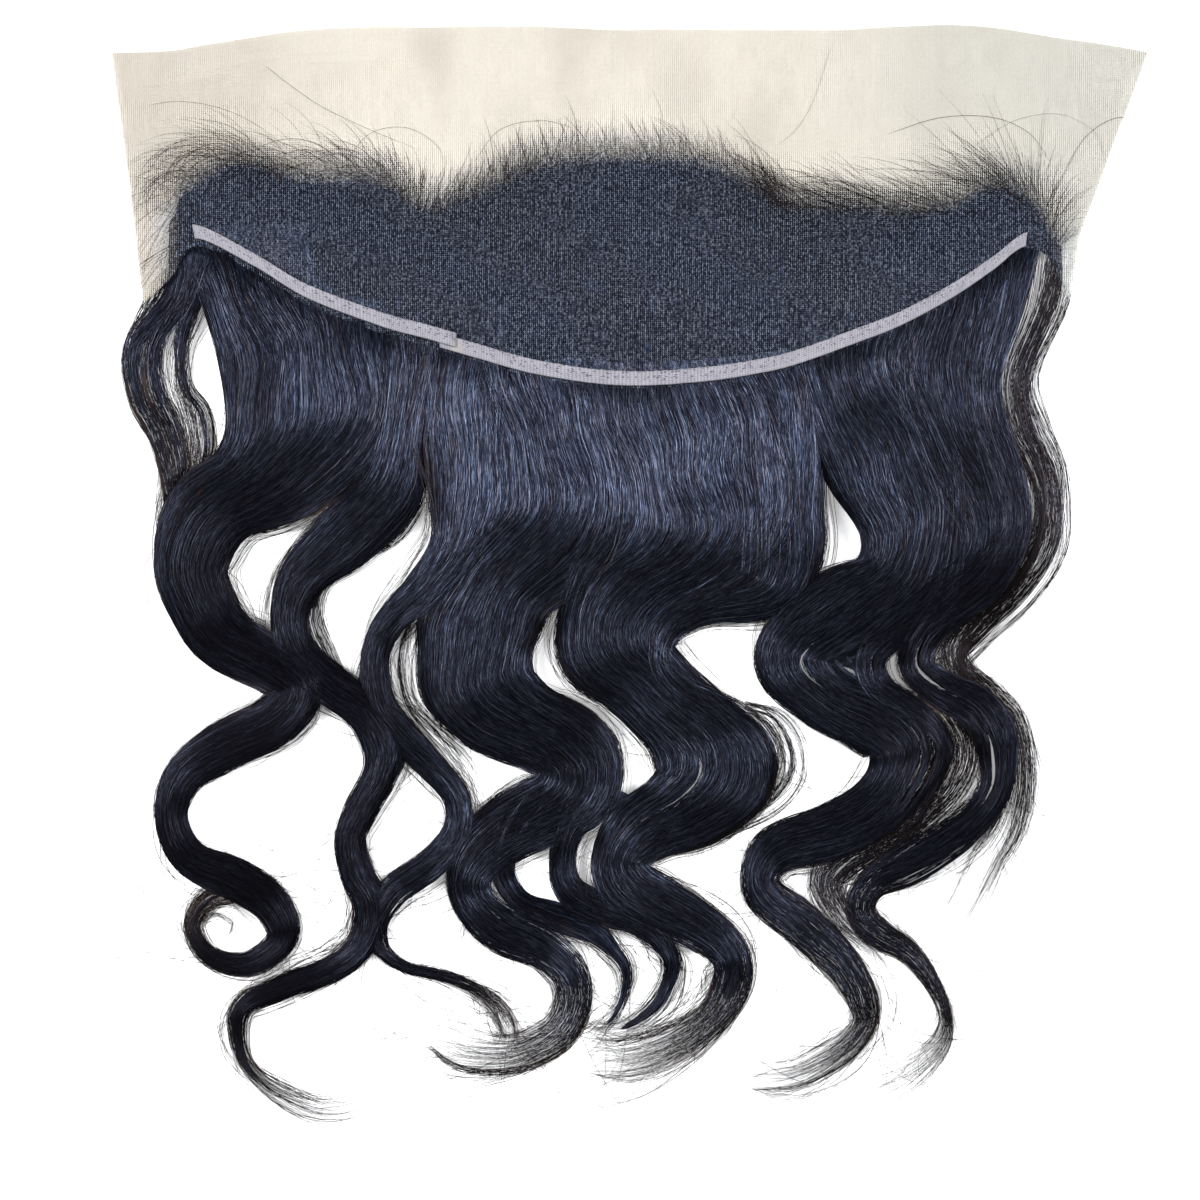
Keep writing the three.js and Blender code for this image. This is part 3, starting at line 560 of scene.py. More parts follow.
# Painted sheen by place on the table: the hair's colour is raised or lowered by place to stand in for more
# or less sheen from the lights.
PAINTED_SHEEN_FROM_Y = (-14 * MM, 62 * MM)
PAINTED_SHEEN_SHARES = (0.42, 0.96)
PAINTED_SHEEN_LEFT_X = (-130 * MM, -60 * MM)
PAINTED_SHEEN_LEFT_SHARES = (0.42, 1.0)
PAINTED_SHEEN_RIGHT_X = (70 * MM, 110 * MM)
PAINTED_SHEEN_RIGHT_SHARES = (1.0, 0.6)
PAINTED_SHEEN_PATCH_SCALE = 34.0
PAINTED_SHEEN_PATCH_NOISE = (0.35, 0.65)
PAINTED_SHEEN_PATCH_SHARES = (0.62, 1.25)
HAIR_DARK = (0.004, 0.004, 0.007)
HAIR_MIDDLE = (0.024, 0.034, 0.064)
HAIR_LIGHT = (0.16, 0.2, 0.3)
HAIR_WARM_MIDDLE = (0.028, 0.028, 0.046)
HAIR_WARM_LIGHT = (0.175, 0.17, 0.22)
HAIR_BROWN = (0.03, 0.02, 0.015)
HAIR_SHADER = {
    "Metallic": 0.8, "Specular IOR Level": 0.2, "Specular Tint": (0.4, 0.45, 0.6, 1), "Anisotropic": 0.95,
}
HAIR_RELIEF = 0.38
HAIR_RELIEF_DEPTH = 0.12 * MM


def streak_layers(tree):
    """Two layers of streaks along the fibre, a little wavy, and a slow change of hue."""
    uv = strand_uv(tree)
    slow = noise(tree, uv, WAVER_SCALE, dimensions="2D", output="Color")
    waved = add_node(
        tree, "ShaderNodeVectorMath", {"operation": "MULTIPLY_ADD"}, i0=slow, i1=(WAVER, 0, 0), i2=uv
    ).outputs["Vector"]
    layers = []
    for scale, stretch in ((STREAK_SCALE, STREAK_STRETCH), (TRESS_SCALE, TRESS_STRETCH)):
        place = drawn_out(tree, waved, stretch)
        layers.append(noise(tree, place, scale, STREAK_DETAIL, STREAK_ROUGHNESS, dimensions="2D"))
    hue = noise(tree, drawn_out(tree, uv, HUE_STRETCH), HUE_SCALE, dimensions="2D")
    return value_mix(tree, TRESS_SHARE, *layers), hue


def painted_sheen_share(tree):
    """Painted sheen of the hair by place: bright below the band, darker in the waves and in soft patches.
    """
    place = object_place(tree)
    apart = add_node(tree, "ShaderNodeSeparateXYZ", Vector=place)
    down = mapped(tree, apart.outputs["Y"], *PAINTED_SHEEN_FROM_Y, *PAINTED_SHEEN_SHARES)
    left = mapped(tree, apart.outputs["X"], *PAINTED_SHEEN_LEFT_X, *PAINTED_SHEEN_LEFT_SHARES)
    right = mapped(tree, apart.outputs["X"], *PAINTED_SHEEN_RIGHT_X, *PAINTED_SHEEN_RIGHT_SHARES)
    side = maths(tree, "MULTIPLY", left, right)
    cloud = noise(tree, place, PAINTED_SHEEN_PATCH_SCALE)
    patch = mapped(tree, cloud, *PAINTED_SHEEN_PATCH_NOISE, *PAINTED_SHEEN_PATCH_SHARES)
    return maths(tree, "MULTIPLY", maths(tree, "MULTIPLY", down, side), patch, clamp=True)


def hair_material(name):
    """Hair with fine streaks along the fibre and highlights that spread across it."""
    material, tree, shader = new_material(name)
    streaks, hue = streak_layers(tree)
    toned = maths(tree, "MULTIPLY_ADD", attribute(tree, "tone"), TONE_SHARE, streaks)
    blue = colour_ramp(tree, toned, zip(TONE_STOPS, (HAIR_DARK, HAIR_MIDDLE, HAIR_LIGHT)))
    warm = colour_ramp(tree, toned, zip(TONE_STOPS, (HAIR_DARK, HAIR_WARM_MIDDLE, HAIR_WARM_LIGHT)))
    full_sheen_colour = colour_mix(tree, mapped(tree, hue, *HUE_FROM_NOISE, 0.0, 1.0), blue, warm)
    # Painted sheen: the colour fades to the darkest hair where the place calls for less sheen.
    base = colour_mix(tree, painted_sheen_share(tree), HAIR_DARK, full_sheen_colour)
    colour = colour_mix(tree, attribute(tree, "thin"), base, HAIR_BROWN)
    tree.links.new(colour, shader.inputs["Base Color"])
    rough = mapped(tree, toned, TONE_STOPS[0], TONE_STOPS[-1], *ROUGHNESS_BY_TONE)
    tree.links.new(rough, shader.inputs["Roughness"])
    relief = add_node(
        tree, "ShaderNodeBump", Strength=HAIR_RELIEF, Distance=HAIR_RELIEF_DEPTH, Height=toned
    )
    tree.links.new(relief.outputs["Normal"], shader.inputs["Normal"])
    set_inputs(shader, HAIR_SHADER)
    tangent = add_node(tree, "ShaderNodeTangent", {"direction_type": "UV_MAP", "uv_map": "strand"})
    tree.links.new(tangent.outputs["Tangent"], shader.inputs["Tangent"])
    return material


hair_look = hair_material("hair")

# Sections of wide locks turn towards level, so that they don't cross in a bend.
WIDE_TURN = 0.5
HEADING_STEP = 0.05
LEAST_WIDTH = 0.3 * MM
LEAST_HEIGHT = 0.5 * MM


def lock_frame(rows, at):
    """Centre, cross direction, half width and height of a lock at table positions."""
    table = lock_shares(rows)
    values = smooth_curve(table, at)
    centre = np.stack(
        [values[..., 0] * LACE_HALF_WIDTH, TABLES_ORIGIN_Y - values[..., 1] * HAIR_FALL], -1
    )
    middles = table[:, :2]
    ahead = smooth_curve(middles, at + HEADING_STEP) - smooth_curve(middles, at - HEADING_STEP)
    heading = ahead * [LACE_HALF_WIDTH, -HAIR_FALL]
    heading /= np.linalg.norm(heading, axis=-1, keepdims=True)
    width = np.maximum(values[..., 2] * LOCK_WIDTH, LEAST_WIDTH)
    squared = np.minimum(1, WIDE_TURN * width / LOCK_WIDTH)[..., None]
    heading = heading * (1 - squared) + np.array([0, -1]) * squared
    heading /= np.linalg.norm(heading, axis=-1, keepdims=True)
    across = np.stack([-heading[..., 1], heading[..., 0]], -1)
    return centre, across, width / 2, np.maximum(values[..., 3] * LOCK_HEIGHT, LEAST_HEIGHT)


def beside(centre, across, offset):
    """x and y of places at offsets from the middle line of a lock."""
    place = centre + across * offset[..., None]
    return place[..., 0], place[..., 1]


# Slits in the body of a lock, bridged by single strands:
# [place across from -1 to 1, from row, to row, widest opening in millimetres].
INNER_RIGHT_SLITS = [
    [0.05, 6.6, 9.0, 2.2], [0.22, 3.4, 5.4, 1.2], [0.86, 6.2, 9.4, 3.2],
    [0.4, 10.2, 13.2, 2.0], [0.7, 9.8, 13.4, 2.8],
]
MIDDLE_RIGHT_SLITS = [[0.1, 6.5, 9.2, 1.7], [-0.1, 2.8, 5.0, 1.2]]
OUTER_RIGHT_SLITS = [
    [0.0, 6.4, 9.6, 2.4], [-0.3, 10.6, 14.4, 2.4], [-0.1, 2.6, 5.4, 1.4], [0.35, 11.5, 16, 1.6],
]
CENTRE_RIGHT_SLITS = [[-0.27, 9.9, 13.2, 3.0]]
CENTRE_LEFT_SLITS = [[0.4, 15.5, 18.5, 1.2]]

# One row per lock: [fall, sheet it joins, table, last row of its body, strands, edge strands, slits].
LOCKS = [
    ["left", "left", OUTER_WISP_LEFT, 3.4, 90, 40, []],
    ["left", "left", MIDDLE_WISP_LEFT, 3.4, 70, 30, []],
    ["left", "left", INNER_WISP_LEFT, 3.4, 50, 24, []],
    ["left", "left", OUTER_LEFT_LOCK, 22.6, 520, 130, []],
    ["left", "left", INNER_LEFT_LOCK, 22.5, 290, 130, []],
    ["left", "centre", PARTED_LOCK, 17.5, 280, 90, []],
    ["centre", "centre", CENTRE_LEFT_LOCK, 19.5, 400, 130, CENTRE_LEFT_SLITS],
    ["centre", "centre", THIN_CENTRE_LOCK, 9.5, 50, 24, []],
    ["centre", "centre", CURLED_CENTRE_LOCK, 10, 80, 30, []],
    ["centre", "centre", CENTRE_RIGHT_LOCK, 19.5, 540, 150, CENTRE_RIGHT_SLITS],
    ["centre", "centre", CENTRE_EDGE_LOCK, 12.5, 170, 20, []],
    ["right", "right", INNER_RIGHT_LOCK, 18.5, 480, 140, INNER_RIGHT_SLITS],
    ["right", "right", MIDDLE_RIGHT_LOCK, 12.5, 300, 40, MIDDLE_RIGHT_SLITS],
    ["right", "right", OUTER_RIGHT_LOCK, 17, 280, 100, OUTER_RIGHT_SLITS],
]
# Groups of single strands without a body: [fall, table, strands].
VEILS = [
    ["left", SIDE_WISP_LEFT, 110],
    ["left", VEIL_INNER_LEFT, 46],
    ["left", VEIL_PARTED, 34],
    ["left", VEIL_LEFT_PARTING, 110],
    ["right", VEIL_RIGHT_PARTING, 110],
    ["centre", VEIL_CENTRE_RIM, 44],
    ["right", SIDE_WISP_RIGHT, 170],
    ["right", VEIL_RIGHT_RIM, 90],
    ["right", VEIL_RIGHT_INSIDE, 260],
]
SHEET_STEP = 1 * MM
SHEET_LOW = (-0.215, -0.23)
SHEET_HIGH = (0.215, 0.14)
SHEET_READINGS = 700
SHEET_READINGS_ACROSS = 161
# How many times the sheet is blurred for its height, its round edge and its inside.
HEIGHT_BLUR = 30
EDGE_BLUR = 26
INSIDE_BLUR = 10
INSIDE_FROM = (0.62, 0.9)


def sheet_field(name):
    """Height of the locks that lie side by side as one sheet, without the valleys between them."""
    field = Field(SHEET_LOW, SHEET_HIGH, SHEET_STEP)
    mask = np.zeros_like(field.values)
    height = np.zeros_like(field.values)
    for _, sheet, rows, body_end, *_ in LOCKS:
        if sheet != name:
            continue
        at = np.linspace(0, body_end, SHEET_READINGS)
        centre, across, half, high = lock_frame(rows, at)
        share = np.linspace(-1, 1, SHEET_READINGS_ACROSS)
        x = centre[:, 0:1] + across[:, 0:1] * half[:, None] * share
        y = centre[:, 1:2] + across[:, 1:2] * half[:, None] * share
        i = np.clip(np.round((x - SHEET_LOW[0]) / SHEET_STEP).astype(int), 0, len(field.xs) - 1)
        j = np.clip(np.round((y - SHEET_LOW[1]) / SHEET_STEP).astype(int), 0, len(field.ys) - 1)
        mask[i, j] = 1
        np.maximum.at(height, (i, j), np.broadcast_to(high[:, None], i.shape))
    local = blurred(height, HEIGHT_BLUR) / np.maximum(blurred(mask, HEIGHT_BLUR), 0.02)
    roundness = np.clip(2 * blurred(mask, EDGE_BLUR) - 1, 0, 1)
    field.values = local * np.sqrt(roundness)
    field.inside = ramp(blurred(mask, INSIDE_BLUR), *INSIDE_FROM)
    return field


SHEETS = {name: sheet_field(name) for name in ("left", "centre", "right")}
ROOF_CLEAR = 0.9 * MM
ROOF_RISE = 1.6
ROOF_START = 0.5 * MM
ROOF_INSET = 1.5 * MM
ROOF_LOWEST = 0.4 * MM
ROOF_BLEND = 0.8 * MM
ROOF_FAR = 4 * MM


def under_roof(x, y, z):
    """Keeps hair below the lace, and lets it rise again beyond the lace's rear edge."""
    rear = rear_y(x)
    roof = np.maximum(lace_z(x, np.maximum(y, rear + ROOF_INSET)) - ROOF_CLEAR, ROOF_LOWEST)
    roof = roof + np.maximum(rear - y - ROOF_START, 0) * ROOF_RISE
    below = -ROOF_BLEND * np.logaddexp(-z / ROOF_BLEND, -roof / ROOF_BLEND)
    return np.where(roof > z + ROOF_FAR, z, below)


def inside_sheet(sheet, x, y):
    """1 where locks lie against each other and no edge shows, 0 at an open edge."""
    field = SHEETS[sheet]
    return field.read(x, y, field.inside)


def hair_top(sheet, x, y, share, height):
    own = height * np.sqrt(np.maximum(1 - share**2, 0))
    if sheet is not None:
        own = np.maximum(own, SHEETS[sheet].read(x, y))
    return under_roof(x, y, own)


BODY_CORNERS = 18
BODY_STATIONS_PER_ROW = 5
BODY_SHRINK = 0.93
BODY_LAP = 0.07
EDGE_ROUNDING = 1.5 * MM
BODY_TIP_ROWS = 5
BODY_TIP_POWER = 0.7
BODY_END_SHARE = 0.02
BODY_HEIGHT = 0.97
BODY_LEAST_HEIGHT = 0.1 * MM
BODY_TIP_SLOPE = 1.6
LAP_POWER = 6
# The flat underside has a point for every fourth point of the top.
FOOT_STEP = 4


def slit_opening(at, half, slit):
    """Half the width of a slit at table positions, as a share of the lock's half width."""
    _, first, final, width = slit
    part = np.clip((at - first) / (final - first), 0, 1)
    return np.sin(math.pi * part) * width * MM / half / 2


def beside_slits(share, at, half, slits, kept):
    """Moves strands aside where their lock parts, but for those kept as bridges."""
    for slit in slits:
        apart = share - slit[0]
        opening = slit_opening(at, half, slit) * kept
        share = slit[0] + np.where(apart < 0, -1, 1) * np.sqrt(apart**2 + opening**2)
    return share


def lock_body(sheet, rows, body_end, slits):
    """The dense middle of a lock: closed lofts side by side, parted by the slits."""
    stations = int(BODY_STATIONS_PER_ROW * body_end)
    at = np.linspace(0, body_end, stations)
    centre, across, half, height = lock_frame(rows, at)
    to_tip = np.clip((body_end - at) / BODY_TIP_ROWS, 0, 1) ** BODY_TIP_POWER
    thinning = BODY_SHRINK * (0.25 + 0.75 * to_tip)
    thinning[-1] = BODY_END_SHARE
    places = sorted(slits)
    edges = [np.full(stations, -1.0)]
    openings = [np.zeros(stations)]
    for slit in places:
        edges.append(np.full(stations, float(slit[0])))
        openings.append(slit_opening(at, half, slit))
    edges.append(np.full(stations, 1.0))
    openings.append(np.zeros(stations))
    length = np.cumsum(np.linalg.norm(np.diff(centre, axis=0, prepend=centre[:1]), axis=-1))
    parts = []
    for k in range(len(edges) - 1):
        left = edges[k] + openings[k]
        right = edges[k + 1] - openings[k + 1]
        corner = np.linspace(0, 1, BODY_CORNERS)
        corner = 0.5 - 0.5 * np.cos(corner * math.pi)
        share = left[:, None] + (right - left)[:, None] * corner
        offset = share * (half * thinning)[:, None]
        lap = inside_sheet(sheet, *beside(centre[:, None], across[:, None], offset))
        offset = offset * (1 + BODY_LAP * lap * np.abs(share) ** LAP_POWER)
        x, y = beside(centre[:, None], across[:, None], offset)
        top = hair_top(sheet, x, y, share, height[:, None] * BODY_HEIGHT)
        width = ((right - left) * half * thinning)[:, None]
        near_edge = np.minimum(corner, 1 - corner)[None, :] * width
        rounding = 0.35 + 0.65 * ramp(near_edge, 0, EDGE_ROUNDING)
        top = top * np.maximum(rounding, lap * (0.9 + 0.1 * rounding))
        top = np.maximum(top, BODY_LEAST_HEIGHT) * np.minimum(1, thinning[:, None] * BODY_TIP_SLOPE)
        crown = np.stack([x, y, top], -1)
        foot = crown[:, ::-1][:, ::FOOT_STEP].copy()
        foot[..., 2] = 0
        points = np.concatenate([crown, foot], 1)
        around = points.shape[1]
        u = np.concatenate([share, share[:, ::-1][:, ::FOOT_STEP]], 1) * half.max()
        v = np.repeat(length[:, None], around, 1)
        uvs = np.stack([u, v], -1).reshape(-1, 2)
        values = {"tone": np.zeros(stations * around), "thin": np.zeros(stations * around)}
        parts.append((points.reshape(-1, 3), ring_quads(stations, around), uvs, values))
    return parts


def wander(rng, at, waves, size):
    """Slow random waves along each strand; at holds a row of table positions per strand."""
    total = np.zeros_like(at)
    for pace in waves:
        phase = rng.uniform(0, 2 * math.pi, (len(at), 1))
        speed = rng.uniform(0.7, 1.3, (len(at), 1)) * pace
        strength = rng.normal(0, 1, (len(at), 1)) / pace**0.5
        total += strength * np.sin(at * speed + phase)
    return total * size


ROOT_REACH = 5 * MM
# Slow sideways bends that neighbouring strands share: [size, pitch down, pitch across, phase], in mm.
SWIRLS = [[2.2, 66, 150, 0.4], [1.1, 38, -75, 2.1]]


def swirl(x, y):
    total = np.zeros_like(x)
    for size, down, across, phase in SWIRLS:
        total += size * MM * np.sin(2 * math.pi * (y / (down * MM) + x / (across * MM)) + phase)
    return total


BRIDGE_SHARE = 0.04
CURLS = 9
SPAN_READINGS = 120
EDGE_LIFT = 0.12 * MM
WIDEST = 30 * MM
STRAND_LAYER = 0.6 * MM


def strand_span(rows, share, ends):
    """Table positions where strands leave the lace and where they end."""
    last = len(rows) - 1
    readings = np.linspace(0, last, SPAN_READINGS)[None, :].repeat(len(share), 0)
    centre, across, half, _ = lock_frame(rows, readings)
    x, y = beside(centre, across, half * share)
    clear = y < rear_y(x) + ROOT_REACH
    first = np.argmax(clear, axis=1)
    start = readings[np.arange(len(share)), first][:, None]
    return start, np.maximum(last * ends, start + 1)


# Strands over a lock: the share of its length over which they end, and how far they stray.
TIP_SPREAD = 0.28
UNRULY_SHARE = 0.12
UNRULY_FACTOR = 2.4
CURL_SPREAD = 6.5
STRAND_SPREAD = 2.2
DRIFT_FROM = (0.82, 1.04)
STRAND_WAVES = (0.7, 1.7, 4.5)
STRAND_WANDER = 0.26 * MM
LIFT_WAVES = (1.2, 2.6)
LIFT_WANDER = 0.1 * MM
LOWEST_STRAND = 0.12 * MM
# Table rows before and after the end of the body over which strands sink, and how deep.
SINK_BEFORE = 1.2
SINK_AFTER = 0.6
SINK_SHARE = 0.9


def lock_strands(rng, sheet, rows, body_end, slits, count, stations):
    """Strands over the body of a lock, which part into thin curls at its tip."""
    last = len(rows) - 1
    share = rng.uniform(-1.0, 1.0, (count, 1))
    deep = rng.uniform(0, 1, (count, 1))
    start, end = strand_span(rows, share, 1 - TIP_SPREAD * rng.uniform(0, 1, (count, 1)) ** 2)
    at = start + (end - start) * np.linspace(0, 1, stations)
    centre, across, half, height = lock_frame(rows, at)
    along = at / last
    kept = rng.uniform(0, 1, (count, 1)) > BRIDGE_SHARE
    parted = beside_slits(share, at, half, slits, kept)
    unruly = np.where(rng.uniform(0, 1, (count, 1)) < UNRULY_SHARE, UNRULY_FACTOR, 1.0)
    curls = rng.normal(0, 1, CURLS)[rng.integers(0, CURLS, (count, 1))]
    drift = curls * CURL_SPREAD + rng.normal(0, STRAND_SPREAD, (count, 1))
    drift = drift * MM * ramp(along, *DRIFT_FROM) ** 1.3
    offset = half * parted + drift + wander(rng, at, STRAND_WAVES, STRAND_WANDER) * unruly
    swirled = swirl(centre[..., 0] + offset, centre[..., 1])
    offset = offset + swirled * (1 - np.abs(share) ** 3) * half / WIDEST
    x, y = beside(centre, across, offset)
    top = hair_top(sheet, x, y, np.clip(offset / half, -1, 1), height)
    sunk = SINK_SHARE * ramp(at, body_end - SINK_BEFORE, body_end + SINK_AFTER)
    z = top * (1 - deep * sunk) + deep * STRAND_LAYER + wander(rng, at, LIFT_WAVES, LIFT_WANDER)
    tip = ramp(along, 0.78, 1.0)
    edge = ramp(np.abs(offset) / half, 0.9, 1.05) * (1 - inside_sheet(sheet, x, y))
    thin = np.clip(0.1 + 0.6 * tip + 0.5 * edge, 0, 1)
    return np.stack([x, y, np.maximum(z, LOWEST_STRAND)], -1), thin


# Groups of strands beside a lock: strands to a group, table rows it spans, and how far out it bows.
EDGE_GROUP = 9
EDGE_SPAN = (2.0, 5.0)
EDGE_REACH = (2.0, 1.5)
EDGE_START = (0.8, 1.02)
EDGE_LEAST_SPAN = 0.8
EDGE_WAVES = (0.9, 2.1)
EDGE_WANDER = 0.3 * MM
EDGE_THIN = 0.9


def edge_strands(rng, sheet, rows, count, stations):
    """Strands that leave the edge of a lock in groups and join it again further down."""
    last = len(rows) - 1
    groups = max(3, count // EDGE_GROUP)
    side = rng.choice([-1.0, 1.0], groups)
    first = rng.uniform(1.5, last - 2, groups)
    length = rng.uniform(*EDGE_SPAN, groups)
    reach = rng.gamma(*EDGE_REACH, groups) * MM
    chosen = rng.integers(0, groups, count)
    pick = lambda values: values[chosen][:, None]
    share = pick(side) * rng.uniform(*EDGE_START, (count, 1))
    begin = pick(first) + rng.normal(0, 0.3, (count, 1))
    end = np.minimum(begin + pick(length) + rng.normal(0, 0.4, (count, 1)), last)
    begin = np.maximum(begin, strand_span(rows, share, np.ones((count, 1)))[0])
    end = np.maximum(end, begin + EDGE_LEAST_SPAN)
    along = np.linspace(0, 1, stations)[None, :]
    at = begin + (end - begin) * along
    centre, across, half, height = lock_frame(rows, at)
    out = pick(reach) * rng.uniform(0.1, 1.2, (count, 1)) * np.sin(math.pi * along) ** 1.2
    offset = half * share + np.sign(share) * out + wander(rng, at, EDGE_WAVES, EDGE_WANDER)
    x, y = beside(centre, across, offset)
    z = hair_top(sheet, x, y, np.clip(offset / half, -1, 1), height) + EDGE_LIFT
    return np.stack([x, y, z], -1), np.full(at.shape, EDGE_THIN)


VEIL_GROUP = 7
VEIL_SPREAD = 0.11
VEIL_TIP_SPREAD = 0.25
VEIL_SHARED_WAVES = (0.8, 1.7)
VEIL_SHARED_WANDER = 0.9 * MM
VEIL_WAVES = (0.6, 1.5, 3.5)
VEIL_WANDER = 0.3 * MM
VEIL_THIN = 0.5


def veil_strands(rng, rows, count, stations):
    """Loose strands side by side that let the table show between them."""
    last = len(rows) - 1
    groups = max(3, count // VEIL_GROUP)
    middles = rng.uniform(-0.95, 0.95, groups)
    chosen = rng.integers(0, groups, count)
    share = middles[chosen][:, None] + rng.normal(0, VEIL_SPREAD, (count, 1))
    start, end = strand_span(rows, share, 1 - VEIL_TIP_SPREAD * rng.uniform(0, 1, (count, 1)))
    at = start + (end - start) * np.linspace(0, 1, stations)
    centre, across, half, height = lock_frame(rows, at)
    places = np.linspace(0, last, stations) + np.zeros((groups, 1))
    shared = wander(rng, places, VEIL_SHARED_WAVES, VEIL_SHARED_WANDER)
    offset = half * share + shared[chosen] + wander(rng, at, VEIL_WAVES, VEIL_WANDER)
    x, y = beside(centre, across, offset)
    z = under_roof(x, y, height * rng.uniform(0.1, 1, (count, 1))) + EDGE_LIFT
    return np.stack([x, y, z], -1), np.full(at.shape, VEIL_THIN)


# Single loose hairs: lengths in millimetres, turn per metre, lift over the table, and where they stay.
LOOSE_LENGTHS = (25, 75)
LOOSE_TURN = 22
LOOSE_WANDER = 14
LOOSE_LOW = 0.3 * MM
LOOSE_RISE = 1.5 * MM
LOOSE_ACROSS = 0.21
LOOSE_DOWN = -0.216


def loose_hairs(rng, rows, count, stations):
    """Single hairs that leave a lock near its tip and curl away over the table."""
    last = len(rows) - 1
    start = last * rng.uniform(0.35, 1.0, (count, 1))
    centre, across, half, _ = lock_frame(rows, start)
    ahead = lock_frame(rows, np.minimum(start + 0.3, last + 0.3))[0] - centre
    heading = np.arctan2(ahead[..., 1], ahead[..., 0])
    length = rng.uniform(*LOOSE_LENGTHS, (count, 1)) * MM
    along = np.linspace(0, 1, stations)[None, :]
    step = length / (stations - 1)
    curl = rng.normal(0, LOOSE_TURN, (count, 1))
    curl = curl + wander(rng, along * 6 + np.zeros((count, 1)), (0.8, 1.6), LOOSE_WANDER)
    angle = heading + rng.normal(0, 0.35, (count, 1)) + np.cumsum(curl * step, axis=1)
    side = rng.uniform(-1, 1, (count, 1)) * half
    x = centre[..., 0] + across[..., 0] * side + np.cumsum(np.cos(angle) * step, axis=1)
    y = centre[..., 1] + across[..., 1] * side + np.cumsum(np.sin(angle) * step, axis=1)
    z = LOOSE_LOW + LOOSE_RISE * np.sin(math.pi * along) * rng.uniform(0, 1, (count, 1))
    inside = (np.abs(x).max(1) < LOOSE_ACROSS) & (y.min(1) > LOOSE_DOWN)
    paths = np.stack([x, y, z], -1)[inside]
    return paths, np.ones(paths.shape[:2])


RIBBON_TURN = 0.34
RIBBON_WIDTHS = (0.6, 1.3)
RIBBON_TONES = 0.5


def ribbons(rng, paths, thin, width, root=0.02, tip=0.3, shade=0.0):
    """Thin flat ribbons along paths, each turned a little about its own line."""
    count, stations, _ = paths.shape
    along = np.gradient(paths, axis=1)
    along /= np.linalg.norm(along, axis=-1, keepdims=True) + 1e-12
    side = np.stack([along[..., 1], -along[..., 0], np.zeros((count, stations))], -1)
    side /= np.linalg.norm(side, axis=-1, keepdims=True) + 1e-12
    up = np.cross(side, along)
    turn = rng.normal(0, RIBBON_TURN, (count, 1, 1))
    side = side * np.cos(turn) + up * np.sin(turn)
    share = np.linspace(0, 1, stations)[None, :]
    taper = np.minimum(1, share / root + 0.4) * np.minimum(1, (1 - share) / tip + 0.25)
    widths = rng.uniform(*RIBBON_WIDTHS, (count, 1)) * width * taper
    half = (widths / 2)[..., None]
    points = np.stack([paths - side * half, paths + side * half], 2)
    index = np.arange(count * stations * 2).reshape(count, stations, 2)
    corners = [index[:, :-1, 0], index[:, 1:, 0], index[:, 1:, 1], index[:, :-1, 1]]
    quads = np.stack(corners, -1).reshape(-1, 4)
    lengths = np.cumsum(np.linalg.norm(np.diff(paths, axis=1, prepend=paths[:, :1]), axis=-1), axis=1)
    u = np.stack([np.zeros_like(widths), widths], 2) + (rng.uniform(0, 1, (count, 1, 1)))
    v = np.repeat(lengths[..., None], 2, 2)
    uvs = np.stack([u, v], -1).reshape(-1, 2)
    tone = np.repeat(rng.normal(shade, RIBBON_TONES, count), stations * 2)
    return points.reshape(-1, 3), quads, uvs, {"tone": tone, "thin": np.repeat(thin.ravel(), 2)}


STRAND_WIDTH = 0.17 * MM
EDGE_WIDTH = 0.13 * MM
VEIL_WIDTH = 0.16 * MM
LOOSE_WIDTH = 0.14 * MM
STATIONS_PER_ROW = 3.0

# Strands that would stray further than this below the solids are left out.
STRAY_REACH = 15 * MM
LOWEST_HAIR_Y = CAD_BOX[0][1] - STRAY_REACH


def in_reach(paths, thin):
    kept = (paths[..., 1] > LOWEST_HAIR_Y).all(axis=1)
    return paths[kept], thin[kept]


EDGE_STATIONS = 22
LOOSE_STATIONS = 26


def hair_fall(number, fall):
    """One fall as three pieces: the bodies of its locks, the strands over them, and its loose wisps."""
    rng = np.random.default_rng(SEED + number)
    bodies = []
    strands = []
    wisps = []
    for owner, sheet, rows, body_end, count, edge_count, slits in LOCKS:
        if owner != fall:
            continue
        stations = int(STATIONS_PER_ROW * len(rows))
        bodies += lock_body(sheet, rows, body_end, slits)
        paths, thin = in_reach(*lock_strands(rng, sheet, rows, body_end, slits, count, stations))
        strands.append(ribbons(rng, paths, thin, STRAND_WIDTH))
        paths, thin = in_reach(*edge_strands(rng, sheet, rows, edge_count * 3 // 2, EDGE_STATIONS))
        wisps.append(ribbons(rng, paths, thin, EDGE_WIDTH, root=0.1))
        paths, thin = in_reach(*loose_hairs(rng, rows, edge_count // 2, LOOSE_STATIONS))
        wisps.append(ribbons(rng, paths, thin, LOOSE_WIDTH, root=0.1))
    for owner, rows, count in VEILS:
        if owner == fall:
            paths, thin = veil_strands(rng, rows, count, int(STATIONS_PER_ROW * len(rows)))
            wisps.append(ribbons(rng, paths, thin, VEIL_WIDTH))
    finished(mesh_object(f"hair_locks_{fall}", bodies, hair_look), "hair", f"hair_fall_{fall}")
    finished(mesh_object(f"hair_strands_{fall}", strands, hair_look), "hair")
    finished(mesh_object(f"hair_wisps_{fall}", wisps, hair_look), "hair")


for number, fall in enumerate(("left", "centre", "right")):
    hair_fall(number, fall)

# Lace: a sheer ground and the threads of its net.
NET_PITCH = 0.76 * MM
THREAD_WIDTH = 0.26 * MM
THREAD_STEP = 3.2 * MM
THREAD_SHIFT = 0.25 * MM
THREAD_JITTER = 0.04 * MM
CROSS_THREAD_SHARE = 0.4
OUTLINE_READINGS = 1600
